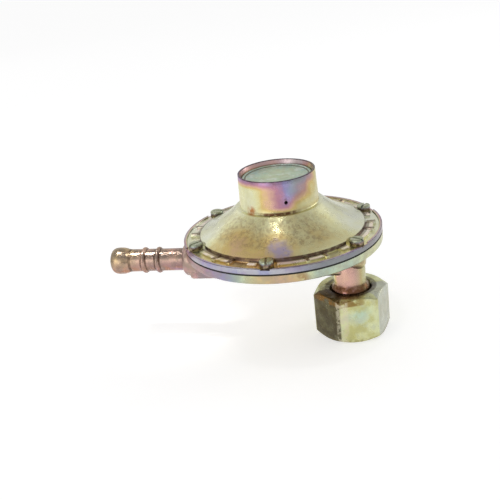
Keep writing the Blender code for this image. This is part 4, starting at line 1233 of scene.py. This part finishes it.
lower_turns = spring_piece("spring_lower_turns", SPRING_LOW, LOWER_TURNS)
upper_turns = spring_piece("spring_upper_turns", SPRING_SPLIT, SPRING_TURNS - LOWER_TURNS)
hand_over(lower_turns, "housing", ["main_spring"], wire_steel)
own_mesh(lower_turns)
hand_over(upper_turns, None, ["main_spring"], wire_steel)
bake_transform(upper_turns)
print(f"the spring is split at {SPRING_SPLIT:.2f} mm")

# %% [markdown]
# ## Floor and light
# The photograph has a white ground with hardly any shadow. The camera, and the metal that mirrors it,
# see the floor partly by its own brightness, so that the soft shadow stays pale.

# %% The floor
FLOOR_Z = -25.9
start_clean()
bpy.ops.mesh.primitive_plane_add(size=6.0, location=(0, 0, FLOOR_Z * MM))
floor = just_added("studio_floor")
floor_finish, shader, point = blank_finish("pale_floor", 0.0, 0.9)
camera_ray = add_node(point.tree, "LightPath", output="Is Camera Ray")
seen = camera_ray.then("MAXIMUM", camera_ray.beside("Is Glossy Ray"))
seen = seen.then("MAXIMUM", camera_ray.beside("Is Transmission Ray"))
mix(seen, (0.97, 0.97, 0.96), (0.82, 0.82, 0.82)).feed(shader.inputs["Base Color"])
shader.inputs["Emission Color"].default_value = (1.0, 1.0, 1.0, 1.0)
(seen * 0.475 + 0.08).feed(shader.inputs["Emission Strength"])
shader.inputs["Specular IOR Level"].default_value = 0.0
floor.data.materials.append(floor_finish)

# %% [markdown]
# Metal looks like what it mirrors. The surroundings are darker at the horizon and bright above, lighter
# to the left than to the right, and a few soft lamps give the highlights.

# %% Lamps and surroundings
def softbox(name, place, target, size, power, beam=180.0):
    """A square lamp that looks at a target, in metres and watts, with a beam in degrees."""
    lamp_data = bpy.data.lights.new(name, "AREA")
    lamp_data.spread = math.radians(beam)
    lamp_data.shape = "SQUARE"
    lamp_data.size = size
    lamp_data.energy = power
    lamp = bpy.data.objects.new(name, lamp_data)
    bpy.context.scene.collection.objects.link(lamp)
    lamp.location = place
    lamp.rotation_euler = (Vector(target) - Vector(place)).to_track_quat("-Z", "Y").to_euler()


MIDDLE = (0, 0, 0.02)
softbox("left_window", (-0.70, 0.60, 0.32), MIDDLE, 0.40, 0.10)
softbox("front_lamp", (-0.045, -0.135, 0.60), MIDDLE, 0.05, 0.20)
softbox("right_fill", (0.70, 0.45, 0.30), MIDDLE, 0.45, 1.2)
softbox("low_front", (-0.35, -0.60, 0.12), (0, 0, 0.0), 0.40, 0.6)
softbox("nozzle_lamp", (-0.115, 0.0, 0.165), (-0.060, 0, 0.007), 0.025, 0.002, beam=20.0)

world = bpy.data.worlds.new("studio")
bpy.context.scene.world = world
world.use_nodes = True
tree = world.node_tree
background = tree.nodes["Background"]
direction = add_node(tree, "TexCoord", output="Generated")
left_right = add_node(tree, "SeparateXYZ", {0: direction})
sky = ramp(left_right.beside(2), (
    (0.00, (0.62, 0.62, 0.64)),
    (0.12, (0.76, 0.76, 0.77)),
    (0.32, (0.94, 0.94, 0.93)),
    (0.60, (0.90, 0.90, 0.90)),
    (0.88, (0.76, 0.76, 0.76)),
))
sky = mix(rise(left_right, -0.8, 0.9, 1.0, 0.72), (0.30, 0.30, 0.33), sky)
sky = mix(add_node(tree, "LightPath", output="Is Camera Ray"), sky, (1.0, 1.0, 1.0))
sky.feed(background.inputs["Color"])
background.inputs["Strength"].default_value = 1.05
bpy.context.scene.view_settings.view_transform = "Standard"
print("studio: five lamps and", len(tree.nodes), "nodes for the surroundings")
